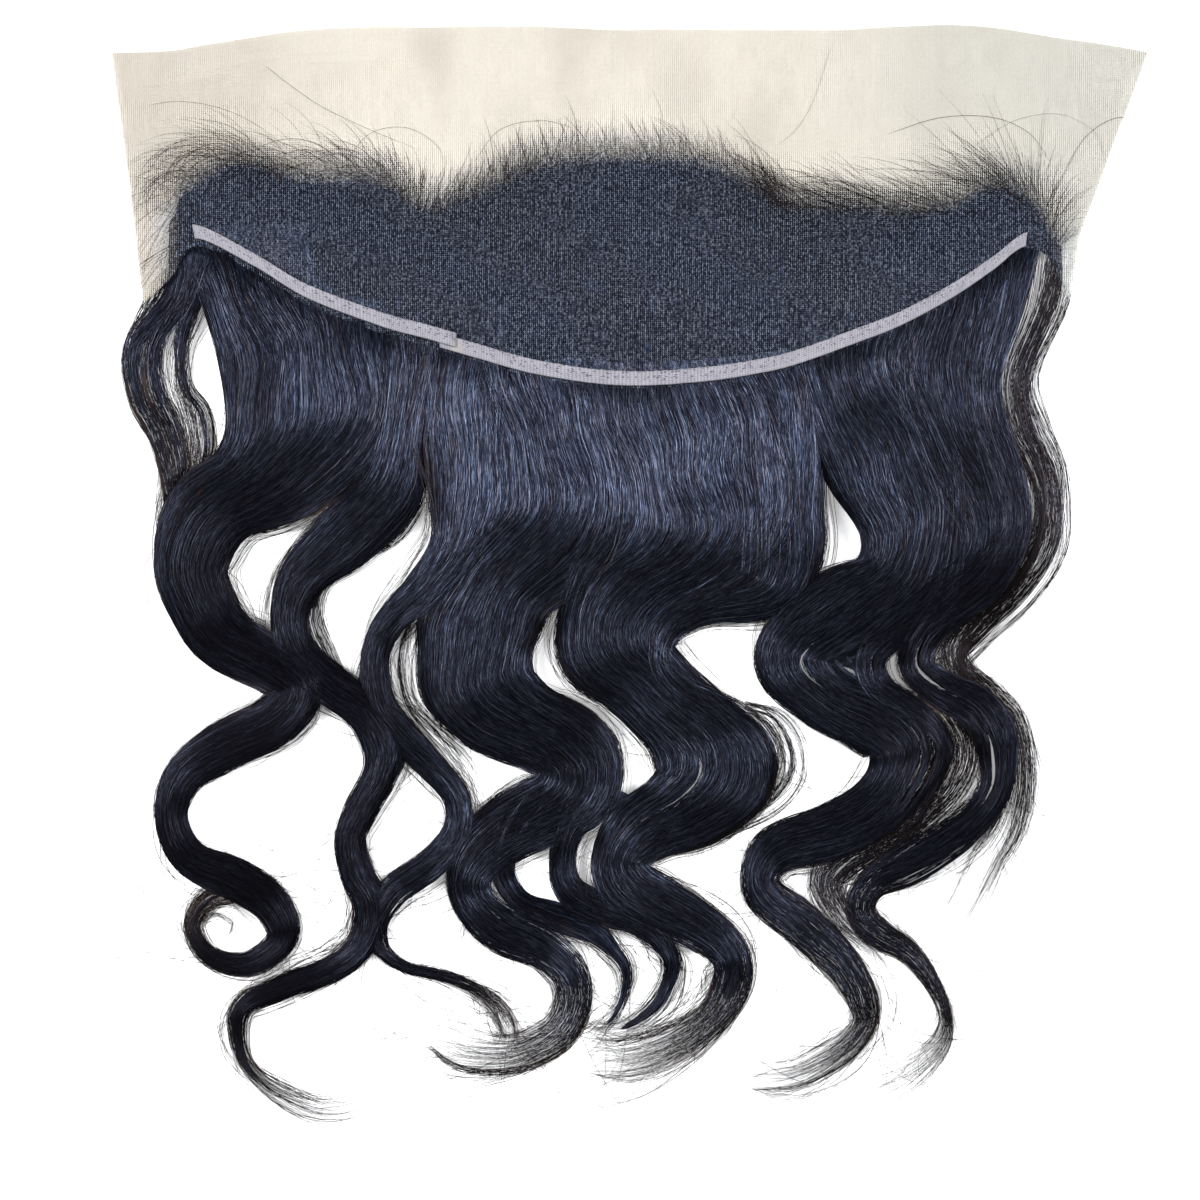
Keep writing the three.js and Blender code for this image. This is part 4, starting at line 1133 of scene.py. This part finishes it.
# Bright columns stand about three threads apart.
NET_COLUMNS = 0.105 / NET_PITCH
LACE_CREAM = (0.635, 0.595, 0.52)
LACE_PAINTED_SHADE = (0.505, 0.462, 0.4)
LACE_SLATE = (0.015, 0.018, 0.03)
LACE_COOL = (0.5, 0.49, 0.44)
LACE_COOL_X = (40 * MM, 170 * MM)
LACE_PAINTED_SHADE_X = (-100 * MM, -180 * MM)
LACE_END_SHARE = 0.9
LACE_CLOUD_SCALE = 24.0
LACE_CLOUD_STRETCH = 0.45
GROUND_COVER = (0.03, 0.86)
GROUND_LINES = 430.0
GROUND_LINE_SHARE = 0.08
GROUND_COLUMNS = 197
GROUND_ROWS = 71
GROUND_BELOW = 0.3 * MM
HAIR_ENDS_X = (-175.5 * MM, 166 * MM)


def ahead_of_hairline(x, y):
    """How far a place lies beyond the knotted area, negative inside it."""
    return np.maximum(y - hairline_y(x), np.maximum(HAIR_ENDS_X[0] - x, x - HAIR_ENDS_X[1]))


FADE = 14 * MM


def bare_share(tree, scale, reach, first, last):
    """0 over the knotted hair and 1 on bare lace, with a ragged change between."""
    ragged = noise(tree, object_place(tree), scale, detail=3.0, roughness=0.7)
    moved = maths(tree, "MULTIPLY_ADD", ragged, reach, attribute(tree, "ahead"))
    return mapped(tree, moved, reach / 2 + first, reach / 2 + last, 0.0, 1.0)


def lace_tint(tree):
    """Cream of the bare lace: painted shade in soft patches and at the left end, cooler at the right end.
    """
    place = object_place(tree)
    # Soft patches of painted shade, as of folds.
    cloud = noise(tree, drawn_out(tree, place, LACE_CLOUD_STRETCH), LACE_CLOUD_SCALE)
    warm = colour_ramp(tree, cloud, [(0.26, LACE_PAINTED_SHADE), (0.5, LACE_CREAM)])
    across = add_node(tree, "ShaderNodeSeparateXYZ", Vector=place).outputs["X"]
    cooled = colour_mix(tree, mapped(tree, across, *LACE_COOL_X, 0.0, LACE_END_SHARE), warm, LACE_COOL)
    # Painted shade towards the left end.
    left = mapped(tree, across, *LACE_PAINTED_SHADE_X, 0.0, LACE_END_SHARE)
    return colour_mix(tree, left, cooled, LACE_PAINTED_SHADE)


def lace_ground():
    """The sheer ground of the lace: an open sheet over its whole outline."""
    material, tree, shader = new_material("lace_ground")
    bare = bare_share(tree, 320.0, 0.9, -0.25, 0.7)
    tree.links.new(colour_mix(tree, bare, LACE_SLATE, lace_tint(tree)), shader.inputs["Base Color"])
    lines = bands(tree, "X", object_place(tree), GROUND_LINES, 0.8)
    cover = mapped(tree, bare, 0.0, 1.0, *GROUND_COVER)
    tree.links.new(maths(tree, "MULTIPLY_ADD", lines, GROUND_LINE_SHARE, cover), shader.inputs["Alpha"])
    set_inputs(shader, {"Roughness": 0.95, "Specular IOR Level": 0.1})
    x = np.linspace(-LACE_HALF_WIDTH, LACE_HALF_WIDTH, GROUND_COLUMNS)[:, None] * np.ones(GROUND_ROWS)
    share = np.linspace(0, 1, GROUND_ROWS)[None, :]
    y = lower_y(x) + (front_y(x) - lower_y(x)) * share
    points = np.stack([x, y, lace_z(x, y) - GROUND_BELOW], -1).reshape(-1, 3)
    quads = grid_quads(GROUND_COLUMNS, GROUND_ROWS)
    ahead = (ahead_of_hairline(x, y) / FADE).ravel()
    return mesh_object("lace_ground", [(points, quads, points[:, :2], {"ahead": ahead})], material)


SPECK_SCALE = 1300.0
SPECK_STRETCH = 0.8
NET_COLUMN_SHARE = 0.07
NET_SLATE = [(0.36, (0.004, 0.006, 0.012)), (0.5, (0.03, 0.038, 0.06)), (0.68, (0.13, 0.15, 0.19))]
# Speck and column pattern of the net over the cream, with painted shade of the threads' relief.
NET_PAINTED_RELIEF_SHADE = [(0.3, (0.86, 0.86, 0.85)), (0.7, (1.0, 1.0, 1.0))]


def thread_material():
    """Threads of the net: light specks on slate over the hair, cream beyond the hairline."""
    material, tree, shader = new_material("lace_thread")
    bare = bare_share(tree, 1100.0, 1.6, -0.3, 0.45)
    place = object_place(tree)
    specks = noise(tree, drawn_out(tree, place, SPECK_STRETCH), SPECK_SCALE, detail=1.0)
    speck = value_mix(tree, NET_COLUMN_SHARE, specks, bands(tree, "X", place, NET_COLUMNS, 2.0))
    slate = colour_ramp(tree, speck, NET_SLATE)
    cream = colour_mix(tree, 1.0, lace_tint(tree), colour_ramp(tree, speck, NET_PAINTED_RELIEF_SHADE), "MULTIPLY")
    tree.links.new(colour_mix(tree, bare, slate, cream), shader.inputs["Base Color"])
    set_inputs(shader, {"Roughness": 0.8, "Specular IOR Level": 0.2})
    return material


def thread_strip(rng, x, y, width):
    """One thread through points on the lace, as a flat strip on its surface."""
    x = x + THREAD_SHIFT * np.sin(y / (17 * MM)) + rng.normal(0, THREAD_JITTER, x.shape)
    y = y + THREAD_SHIFT * np.sin(x / (23 * MM)) + rng.normal(0, THREAD_JITTER, x.shape)
    path = np.stack([x, y, lace_z(x, y)], -1)
    along = np.gradient(path, axis=0)
    along /= np.linalg.norm(along, axis=-1, keepdims=True)
    side = np.stack([along[:, 1], -along[:, 0], np.zeros(len(x))], -1)
    widths = width * rng.uniform(0.7, 1.3, (len(x), 1)) / 2
    points = np.stack([path - side * widths, path + side * widths], 1).reshape(-1, 3)
    ahead = np.repeat(ahead_of_hairline(x, y) / FADE, 2)
    return points, grid_quads(len(x), 2), points[:, :2], {"ahead": ahead}


def net_threads():
    """Upright threads and cross threads of the net, each broken at the outline."""
    rng = np.random.default_rng(SEED + 20)
    parts = []
    for x in np.arange(-LACE_HALF_WIDTH + 0.3 * MM, LACE_HALF_WIDTH, NET_PITCH):
        low, high = lower_y(x), front_y(x)
        count = max(2, int((high - low) / THREAD_STEP) + 1)
        y = np.linspace(low, high, count)
        parts.append(thread_strip(rng, np.full(count, x), y, THREAD_WIDTH))
    reading = np.linspace(-LACE_HALF_WIDTH, LACE_HALF_WIDTH, OUTLINE_READINGS)
    low, high = lower_y(reading), front_y(reading)
    for y in np.arange(low.min() + NET_PITCH / 2, high.max(), NET_PITCH):
        inside = np.concatenate([[False], (y > low) & (y < high), [False]])
        changes = np.flatnonzero(np.diff(inside.astype(int)))
        for first, final in zip(changes[::2], changes[1::2]):
            x0, x1 = reading[first], reading[min(final, len(reading)) - 1]
            count = int((x1 - x0) / THREAD_STEP) + 1
            if count > 1:
                x = np.linspace(x0, x1, count)
                parts.append(thread_strip(rng, x, np.full(count, y), THREAD_WIDTH * CROSS_THREAD_SHARE))
    return mesh_object("lace_threads", parts, thread_material(), smooth=False)


ground = finished(lace_ground(), "lace", "lace_base")
threads = finished(net_threads(), "lace")


MAT_TONE = -1.1
MAT_COLUMNS = 420
MAT_ROWS = 24
MAT_BELOW = 1.0 * MM
MAT_RAGGED = (2.5, 5.5)


def hair_mat():
    """Knotted hair under the lace, from the falls' roots to the hairline."""
    left, right = HAIR_ENDS_X[0] + 0.5 * MM, HAIR_ENDS_X[1] - 2 * MM
    x = np.linspace(left, right, MAT_COLUMNS)[:, None] * np.ones(MAT_ROWS)
    share = np.linspace(0, 1, MAT_ROWS)[None, :]
    low = lower_y(x) + 0.8 * MM
    ragged = np.random.default_rng(SEED + 30).uniform(*MAT_RAGGED, (MAT_COLUMNS, 1)) * MM
    high = np.maximum(hairline_y(x) - ragged, low + 2 * MM)
    y = low + (high - low) * share
    z = np.maximum(lace_z(x, y) - MAT_BELOW, 0.2 * MM)
    points = np.stack([x, y, z], -1).reshape(-1, 3)
    quads = grid_quads(MAT_COLUMNS, MAT_ROWS)
    values = {"tone": np.full(len(points), MAT_TONE), "thin": np.zeros(len(points))}
    return mesh_object("hair_mat", [(points, quads, points[:, :2], values)], hair_look)


finished(hair_mat(), "hair", "hair_bed")

# Short hair along the hairline, a row per place across: heading in degrees from +X, spread of it,
# turn in degrees per millimetre, length in millimetres.
# [across, heading, spread, turn, length]
FRINGE = [
    [-0.9, 150, 18, 3.2, 30],
    [-0.8, 140, 18, 3.4, 28],
    [-0.6, 128, 22, 3.6, 24],
    [-0.47, 115, 25, 3.0, 16],
    [-0.38, 62, 22, 1.0, 10],
    [-0.25, 82, 24, 1.0, 10],
    [0.0, 95, 24, 1.5, 10],
    [0.25, 112, 24, 1.5, 11],
    [0.33, 134, 18, 1.5, 15],
    [0.5, 150, 16, 1.2, 21],
    [0.66, 154, 20, 0.8, 21],
    [0.76, 130, 36, 0.4, 17],
    [0.86, 22, 34, -3.0, 23],
]
HAIRLINE_FROM = 1.6
FRINGE_TONE = -0.9
# One row per layer: [count, from and to millimetres ahead of the hairline, share of its length, stations,
# width in millimetres, share of thin brown hair, height over the lace in millimetres].
FRINGE_LAYERS = [
    [6500, -11, -2.5, 0.7, 5, 0.22, 0.1, -0.65],
    [5000, -8, 2.5, 0.8, 6, 0.12, 0.4, -0.2],
    [700, -8, 3, 1.0, 9, 0.1, 0.7, 0.12],
    [220, -9, 2, 1.9, 18, 0.11, 0.8, 0.3],
]
# Long single hairs over the lace, points as [across, up] shares of the lace.
FLYAWAYS = [
    [[-0.7, 0.885], [-0.66, 0.84], [-0.6, 0.78], [-0.54, 0.735], [-0.47, 0.69], [-0.41, 0.655]],
    [[-0.93, 0.78], [-0.87, 0.79], [-0.8, 0.775], [-0.74, 0.74], [-0.69, 0.69]],
    [[0.385, 0.935], [0.37, 0.86], [0.35, 0.78], [0.32, 0.71], [0.28, 0.66]],
    [[0.5, 0.7], [0.6, 0.745], [0.7, 0.745], [0.77, 0.7], [0.81, 0.62]],
    [[0.66, 0.66], [0.74, 0.735], [0.83, 0.755], [0.9, 0.7], [0.92, 0.6]],
    [[0.84, 0.6], [0.88, 0.69], [0.93, 0.74], [0.985, 0.745]],
    [[-0.55, 0.62], [-0.5, 0.7], [-0.43, 0.715], [-0.37, 0.66], [-0.36, 0.58]],
    [[-0.3, 0.62], [-0.25, 0.71], [-0.17, 0.735], [-0.1, 0.71]],
]


FRINGE_LENGTHS = (0.4, 1.3)
FRINGE_TURNS = (0.5, 1.4)
FRONT_CLEAR = 2 * MM


def fringe_paths(rng, count, low, high, stretch, stations, lift):
    """Short curved hairs that start between low and high millimetres ahead of the hairline."""
    table = np.asarray(FRINGE)
    position = rng.uniform(HAIRLINE_FROM, LAST_LACE_ROW - 1, (count, 1))
    start = smooth_curve(LACE_ROWS[:, 2:4], position[:, 0])
    start = start * [LACE_HALF_WIDTH, LACE_DEPTH] + [0, TABLES_ORIGIN_Y]
    across = start[:, 0] / LACE_HALF_WIDTH
    read = lambda column: np.interp(across, table[:, 0], table[:, column])[:, None]
    heading = np.radians(read(1) + read(2) * rng.normal(0, 0.6, (count, 1)))
    turn = np.radians(read(3)) / MM * rng.uniform(*FRINGE_TURNS, (count, 1))
    length = read(4) * MM * stretch * rng.uniform(*FRINGE_LENGTHS, (count, 1))
    step = length / (stations - 1)
    share = np.linspace(0, 1, stations)[None, :]
    angle = heading + turn * share * length
    back = rng.uniform(low, high, (count, 1)) * MM
    x = start[:, 0:1] + np.cumsum(np.cos(angle) * step, axis=1)
    y = start[:, 1:2] + back + np.cumsum(np.sin(angle) * step, axis=1)
    over = (y < front_y(x) - FRONT_CLEAR) & (y > lower_y(x)) & (np.abs(x) < LACE_HALF_WIDTH)
    kept = over.all(axis=1)
    x, y, over = x[kept], y[kept], over[kept]
    z = np.where(over, np.maximum(lace_z(x, y) + lift * MM, 0.25 * MM), 0.6 * MM)
    return np.stack([x, y, z], -1)


# Hairs at the two ear ends of the knotted area:
# [across in millimetres, lowest and highest down from the hairline in millimetres, heading, turn].
EAR_ENDS = [[-170, -4, 30, 228, 1.2], [163, -6, 26, 20, -3.0]]
# One row per layer: [count, height over the lace and width in millimetres, share of thin brown hair].
EAR_LAYERS = [[50, -0.2, 0.11, 0.5], [50, 0.2, 0.1, 0.8]]
EAR_STATIONS = 14
EAR_LENGTHS = (14, 46)
EAR_SPREAD = 22
FLYAWAY_STATIONS = 40
FLYAWAY_WIDTH = 0.13 * MM


def ear_paths(rng, count, end, stations, lift):
    """Curved hairs that leave an ear end of the knotted area sideways and fall."""
    across, nearest, furthest, heading, turn = end
    x0 = across * MM + rng.normal(0, 1.5 * MM, (count, 1))
    y0 = hairline_y(x0) - rng.uniform(nearest, furthest, (count, 1)) * MM
    length = rng.uniform(*EAR_LENGTHS, (count, 1)) * MM
    step = length / (stations - 1)
    share = np.linspace(0, 1, stations)[None, :]
    bend = np.radians(turn) / MM * rng.uniform(0.3, 1.4, (count, 1))
    angle = np.radians(heading + rng.normal(0, EAR_SPREAD, (count, 1))) + bend * share * length
    x = x0 + np.cumsum(np.cos(angle) * step, axis=1)
    y = y0 + np.cumsum(np.sin(angle) * step, axis=1)
    over = (y > lower_y(x)) & (np.abs(x) < LACE_HALF_WIDTH)
    kept = over[:, : stations // 2].all(axis=1) & (np.abs(x) < LACE_HALF_WIDTH + 4 * MM).all(axis=1)
    x, y, over = x[kept], y[kept], over[kept]
    z = np.where(over, lace_z(x, y) + lift * MM, 0.8 * MM)
    return np.stack([x, y, np.maximum(z, 0.3 * MM)], -1)


def flyaway_paths(stations):
    paths = []
    for row in FLYAWAYS:
        xy = smooth_curve(row, np.linspace(0, len(row) - 1, stations))
        xy = xy * [LACE_HALF_WIDTH, LACE_DEPTH] + [0, TABLES_ORIGIN_Y]
        paths.append(np.column_stack([xy, lace_z(xy[:, 0], xy[:, 1]) + 0.4 * MM]))
    return np.array(paths)


def fringe():
    rng = np.random.default_rng(SEED + 40)
    parts = []
    for count, low, high, stretch, stations, width, thin, lift in FRINGE_LAYERS:
        paths = fringe_paths(rng, count, low, high, stretch, stations, lift)
        thins = np.full(paths.shape[:2], thin)
        parts.append(ribbons(rng, paths, thins, width * MM, root=0.1, tip=0.5, shade=FRINGE_TONE))
    for end in EAR_ENDS:
        for count, lift, width, thin in EAR_LAYERS:
            paths = ear_paths(rng, count, end, EAR_STATIONS, lift)
            thins = np.full(paths.shape[:2], thin)
            parts.append(ribbons(rng, paths, thins, width * MM, root=0.1, tip=0.5, shade=FRINGE_TONE))
    paths = flyaway_paths(FLYAWAY_STATIONS)
    parts.append(ribbons(rng, paths, np.ones(paths.shape[:2]), FLYAWAY_WIDTH, root=0.1, tip=0.3))
    return mesh_object("hairline_fringe", parts, hair_look)


finished(fringe(), "hair")

# Elastic band: two woven lengths that lap, each with a smooth selvedge towards the hair.
BAND_STEP = 0.8 * MM
BAND_POINTS = 15
BAND_THICKNESS = 1.0 * MM
STAIN_PLACE = (-65 * MM, 79 * MM)
SCALLOP = 0.22 * MM
SCALLOP_TURN = 1.15
SELVEDGE = 0.22 * MM
FRONT_CORD = 0.12 * MM
EDGE_DROP = -0.35 * MM
WEAVE_RISE = 0.05 * MM
STAIN_STRENGTH = 0.7
STAIN_FADE = (1 * MM, 3.2 * MM)
BAND_FABRIC = [(0.1, (0.15, 0.145, 0.165)), (0.7, (0.34, 0.33, 0.37))]
BAND_SPECK = (0.05, 0.05, 0.07)
BAND_STAIN = (0.3, 0.28, 0.26)
BAND_RELIEF = 0.5
BAND_RELIEF_DEPTH = 0.0002


def band_material():
    material, tree, shader = new_material("woven_band")
    uv = strand_uv(tree)
    weave = maths(tree, "MULTIPLY", bands(tree, "Y", uv, 430.0, 2.5), bands(tree, "X", uv, 330.0, 1.0))
    mixed = value_mix(tree, 0.5, weave, noise(tree, uv, 300.0, detail=4.0))
    fabric = colour_ramp(tree, mixed, BAND_FABRIC)
    spots = add_node(tree, "ShaderNodeTexVoronoi", Vector=uv, Scale=900.0, Randomness=0.9)
    speck = mapped(tree, spots.outputs["Distance"], 0.2, 0.42, 0.8, 0.0)
    speck = maths(tree, "MULTIPLY", speck, attribute(tree, "open_weave"))
    specked = colour_mix(tree, speck, fabric, BAND_SPECK)
    colour = colour_mix(tree, attribute(tree, "stain"), specked, BAND_STAIN)
    tree.links.new(colour, shader.inputs["Base Color"])
    relief = add_node(
        tree, "ShaderNodeBump", Strength=BAND_RELIEF, Distance=BAND_RELIEF_DEPTH, Height=mixed
    )
    tree.links.new(relief.outputs["Normal"], shader.inputs["Normal"])
    set_inputs(shader, {"Roughness": 0.85, "Specular IOR Level": 0.2})
    return material


woven = band_material()


def elastic_band(name, rows, hem):
    """A closed strip over its CAD solid, with a scalloped front edge."""
    rng = np.random.default_rng(SEED + 60 + len(name))
    grid, over = node_top(name, 0.5 * MM)
    grid.values = blurred(grid.values, 6) / np.maximum(blurred(over, 6), 0.01)
    length = (rows[1] - rows[0]) / LAST_LACE_ROW * 2 * LACE_HALF_WIDTH
    stations = int(length / BAND_STEP)
    at = np.linspace(*rows, stations)
    rear = lace_line(0, at)
    forward = lace_line(2, at) - rear
    forward /= np.linalg.norm(forward, axis=1, keepdims=True)
    share = np.linspace(0, 1, BAND_POINTS)
    scallop = SCALLOP * np.abs(np.sin(np.arange(stations) * SCALLOP_TURN))
    scallop = scallop + rng.normal(0, 0.05 * MM, stations)
    hem_wave = rng.normal(0, 0.03 * MM, stations)
    width = BAND_WIDTH + scallop - 0.2 * MM
    inset = hem + hem_wave[:, None] + width[:, None] * share
    xy = rear[:, None, :] + forward[:, None, :] * inset[..., None]
    middle = rear + forward * (hem + BAND_WIDTH / 2)
    level = grid.read(middle[:, 0], middle[:, 1])
    selvedge = SELVEDGE * np.exp(-(((share - 0.09) / 0.07) ** 2))
    front_cord = FRONT_CORD * np.exp(-(((share - 0.93) / 0.05) ** 2))
    drop = EDGE_DROP * (np.abs(share - 0.5) * 2) ** 8
    weave = WEAVE_RISE * np.sin(np.arange(stations) * 1.9)[:, None] * np.sin(share * 40)[None, :]
    z = level[:, None] + selvedge + front_cord + drop + weave
    crown = np.concatenate([xy, z[..., None]], -1)
    foot = crown[:, [-1, 0]].copy()
    foot[..., 2] = (level - BAND_THICKNESS)[:, None]
    points = np.concatenate([crown, foot], 1)
    points[0, :, 2] = points[0, -1, 2]
    points[-1, :, 2] = points[-1, -1, 2]
    around = points.shape[1]
    quads = ring_quads(stations, around)
    run = np.arange(stations) * BAND_STEP
    u = np.repeat(run[:, None], around, 1)
    v = np.concatenate([share * BAND_WIDTH, [BAND_WIDTH, 0]])[None, :] * np.ones((stations, 1))
    weave_share = np.concatenate([ramp(share, 0.2, 0.4) * (1 - ramp(share, 0.94, 0.98)), [0, 0]])
    far = np.hypot(points[..., 0] - STAIN_PLACE[0], points[..., 1] - STAIN_PLACE[1])
    values = {
        "open_weave": (weave_share[None, :] * np.ones((stations, 1))).ravel(),
        "stain": (STAIN_STRENGTH * (1 - ramp(far, *STAIN_FADE))).ravel(),
    }
    part = (points.reshape(-1, 3), quads, np.stack([u, v], -1).reshape(-1, 2), values)
    return finished(mesh_object(name.replace("elastic", "woven"), [part], woven), "band", name)


elastic_band("elastic_band_left", LEFT_BAND_ROWS, LEFT_BAND_HEM)
elastic_band("elastic_band_right", RIGHT_BAND_ROWS, RIGHT_BAND_HEM)

# Floor, lights and camera.
PHOTO_CENTRE = (-11.4 * MM, -15.7 * MM)
CAMERA_HEIGHT = 1.0
PHOTO_SPAN = 456 * MM
SENSOR = 36.0
FLOOR_SIZE = 4.0
FLOOR_BELOW = 0.05 * MM
FLOOR_PAPER = [(0.3, (0.9, 0.9, 0.9)), (0.7, (0.92, 0.92, 0.92))]
FLOOR_SHADER = {
    "Emission Color": (1, 1, 1, 1), "Emission Strength": 0.35, "Roughness": 0.9, "Specular IOR Level": 0.1,
}
LIGHT_SIZE = (0.7, 0.6)
LIGHT_COLOUR = (0.98, 0.985, 1.0)
LEFT_LIGHT = (-1.1, 0.2, 1.1)
RIGHT_LIGHT = (1.1, 0.2, 1.1)
LEFT_POWER = 34
RIGHT_POWER = 29
BACKDROP_COLOUR = (0.97, 0.98, 1.0, 1)
BACKDROP_STRENGTH = 0.25


def floor():
    bpy.ops.mesh.primitive_plane_add(size=FLOOR_SIZE, location=(0, 0, -FLOOR_BELOW))
    plane = bpy.context.object
    plane.name = "floor"
    material, tree, shader = new_material("floor_paper")
    paper = colour_ramp(tree, noise(tree, object_place(tree), 40.0), FLOOR_PAPER)
    tree.links.new(paper, shader.inputs["Base Color"])
    set_inputs(shader, FLOOR_SHADER)
    plane.data.materials.append(material)


def area_light(name, place, size, power, colour):
    data = bpy.data.lights.new(name, "AREA")
    data.shape = "RECTANGLE"
    data.size, data.size_y = size
    data.energy = power
    data.color = colour
    lamp = bpy.data.objects.new(name, data)
    lamp.location = place
    lamp.rotation_euler = (-Vector(place)).to_track_quat("-Z", "Y").to_euler()
    bpy.context.scene.collection.objects.link(lamp)


floor()
area_light("window_left", LEFT_LIGHT, LIGHT_SIZE, LEFT_POWER, LIGHT_COLOUR)
area_light("window_right", RIGHT_LIGHT, LIGHT_SIZE, RIGHT_POWER, LIGHT_COLOUR)
world = bpy.data.worlds.new("studio")
bpy.context.scene.world = world
world.use_nodes = True
backdrop = world.node_tree.nodes["Background"]
set_inputs(backdrop, {"Color": BACKDROP_COLOUR, "Strength": BACKDROP_STRENGTH})

camera_data = bpy.data.cameras.new("camera")
camera_data.sensor_width = SENSOR
camera_data.lens = SENSOR * CAMERA_HEIGHT / PHOTO_SPAN
camera = bpy.data.objects.new("camera", camera_data)
camera.location = (*PHOTO_CENTRE, CAMERA_HEIGHT)
camera.rotation_euler = (0, 0, 0)
bpy.context.scene.collection.objects.link(camera)
bpy.context.scene.camera = camera
bpy.context.scene.view_settings.view_transform = "Standard"
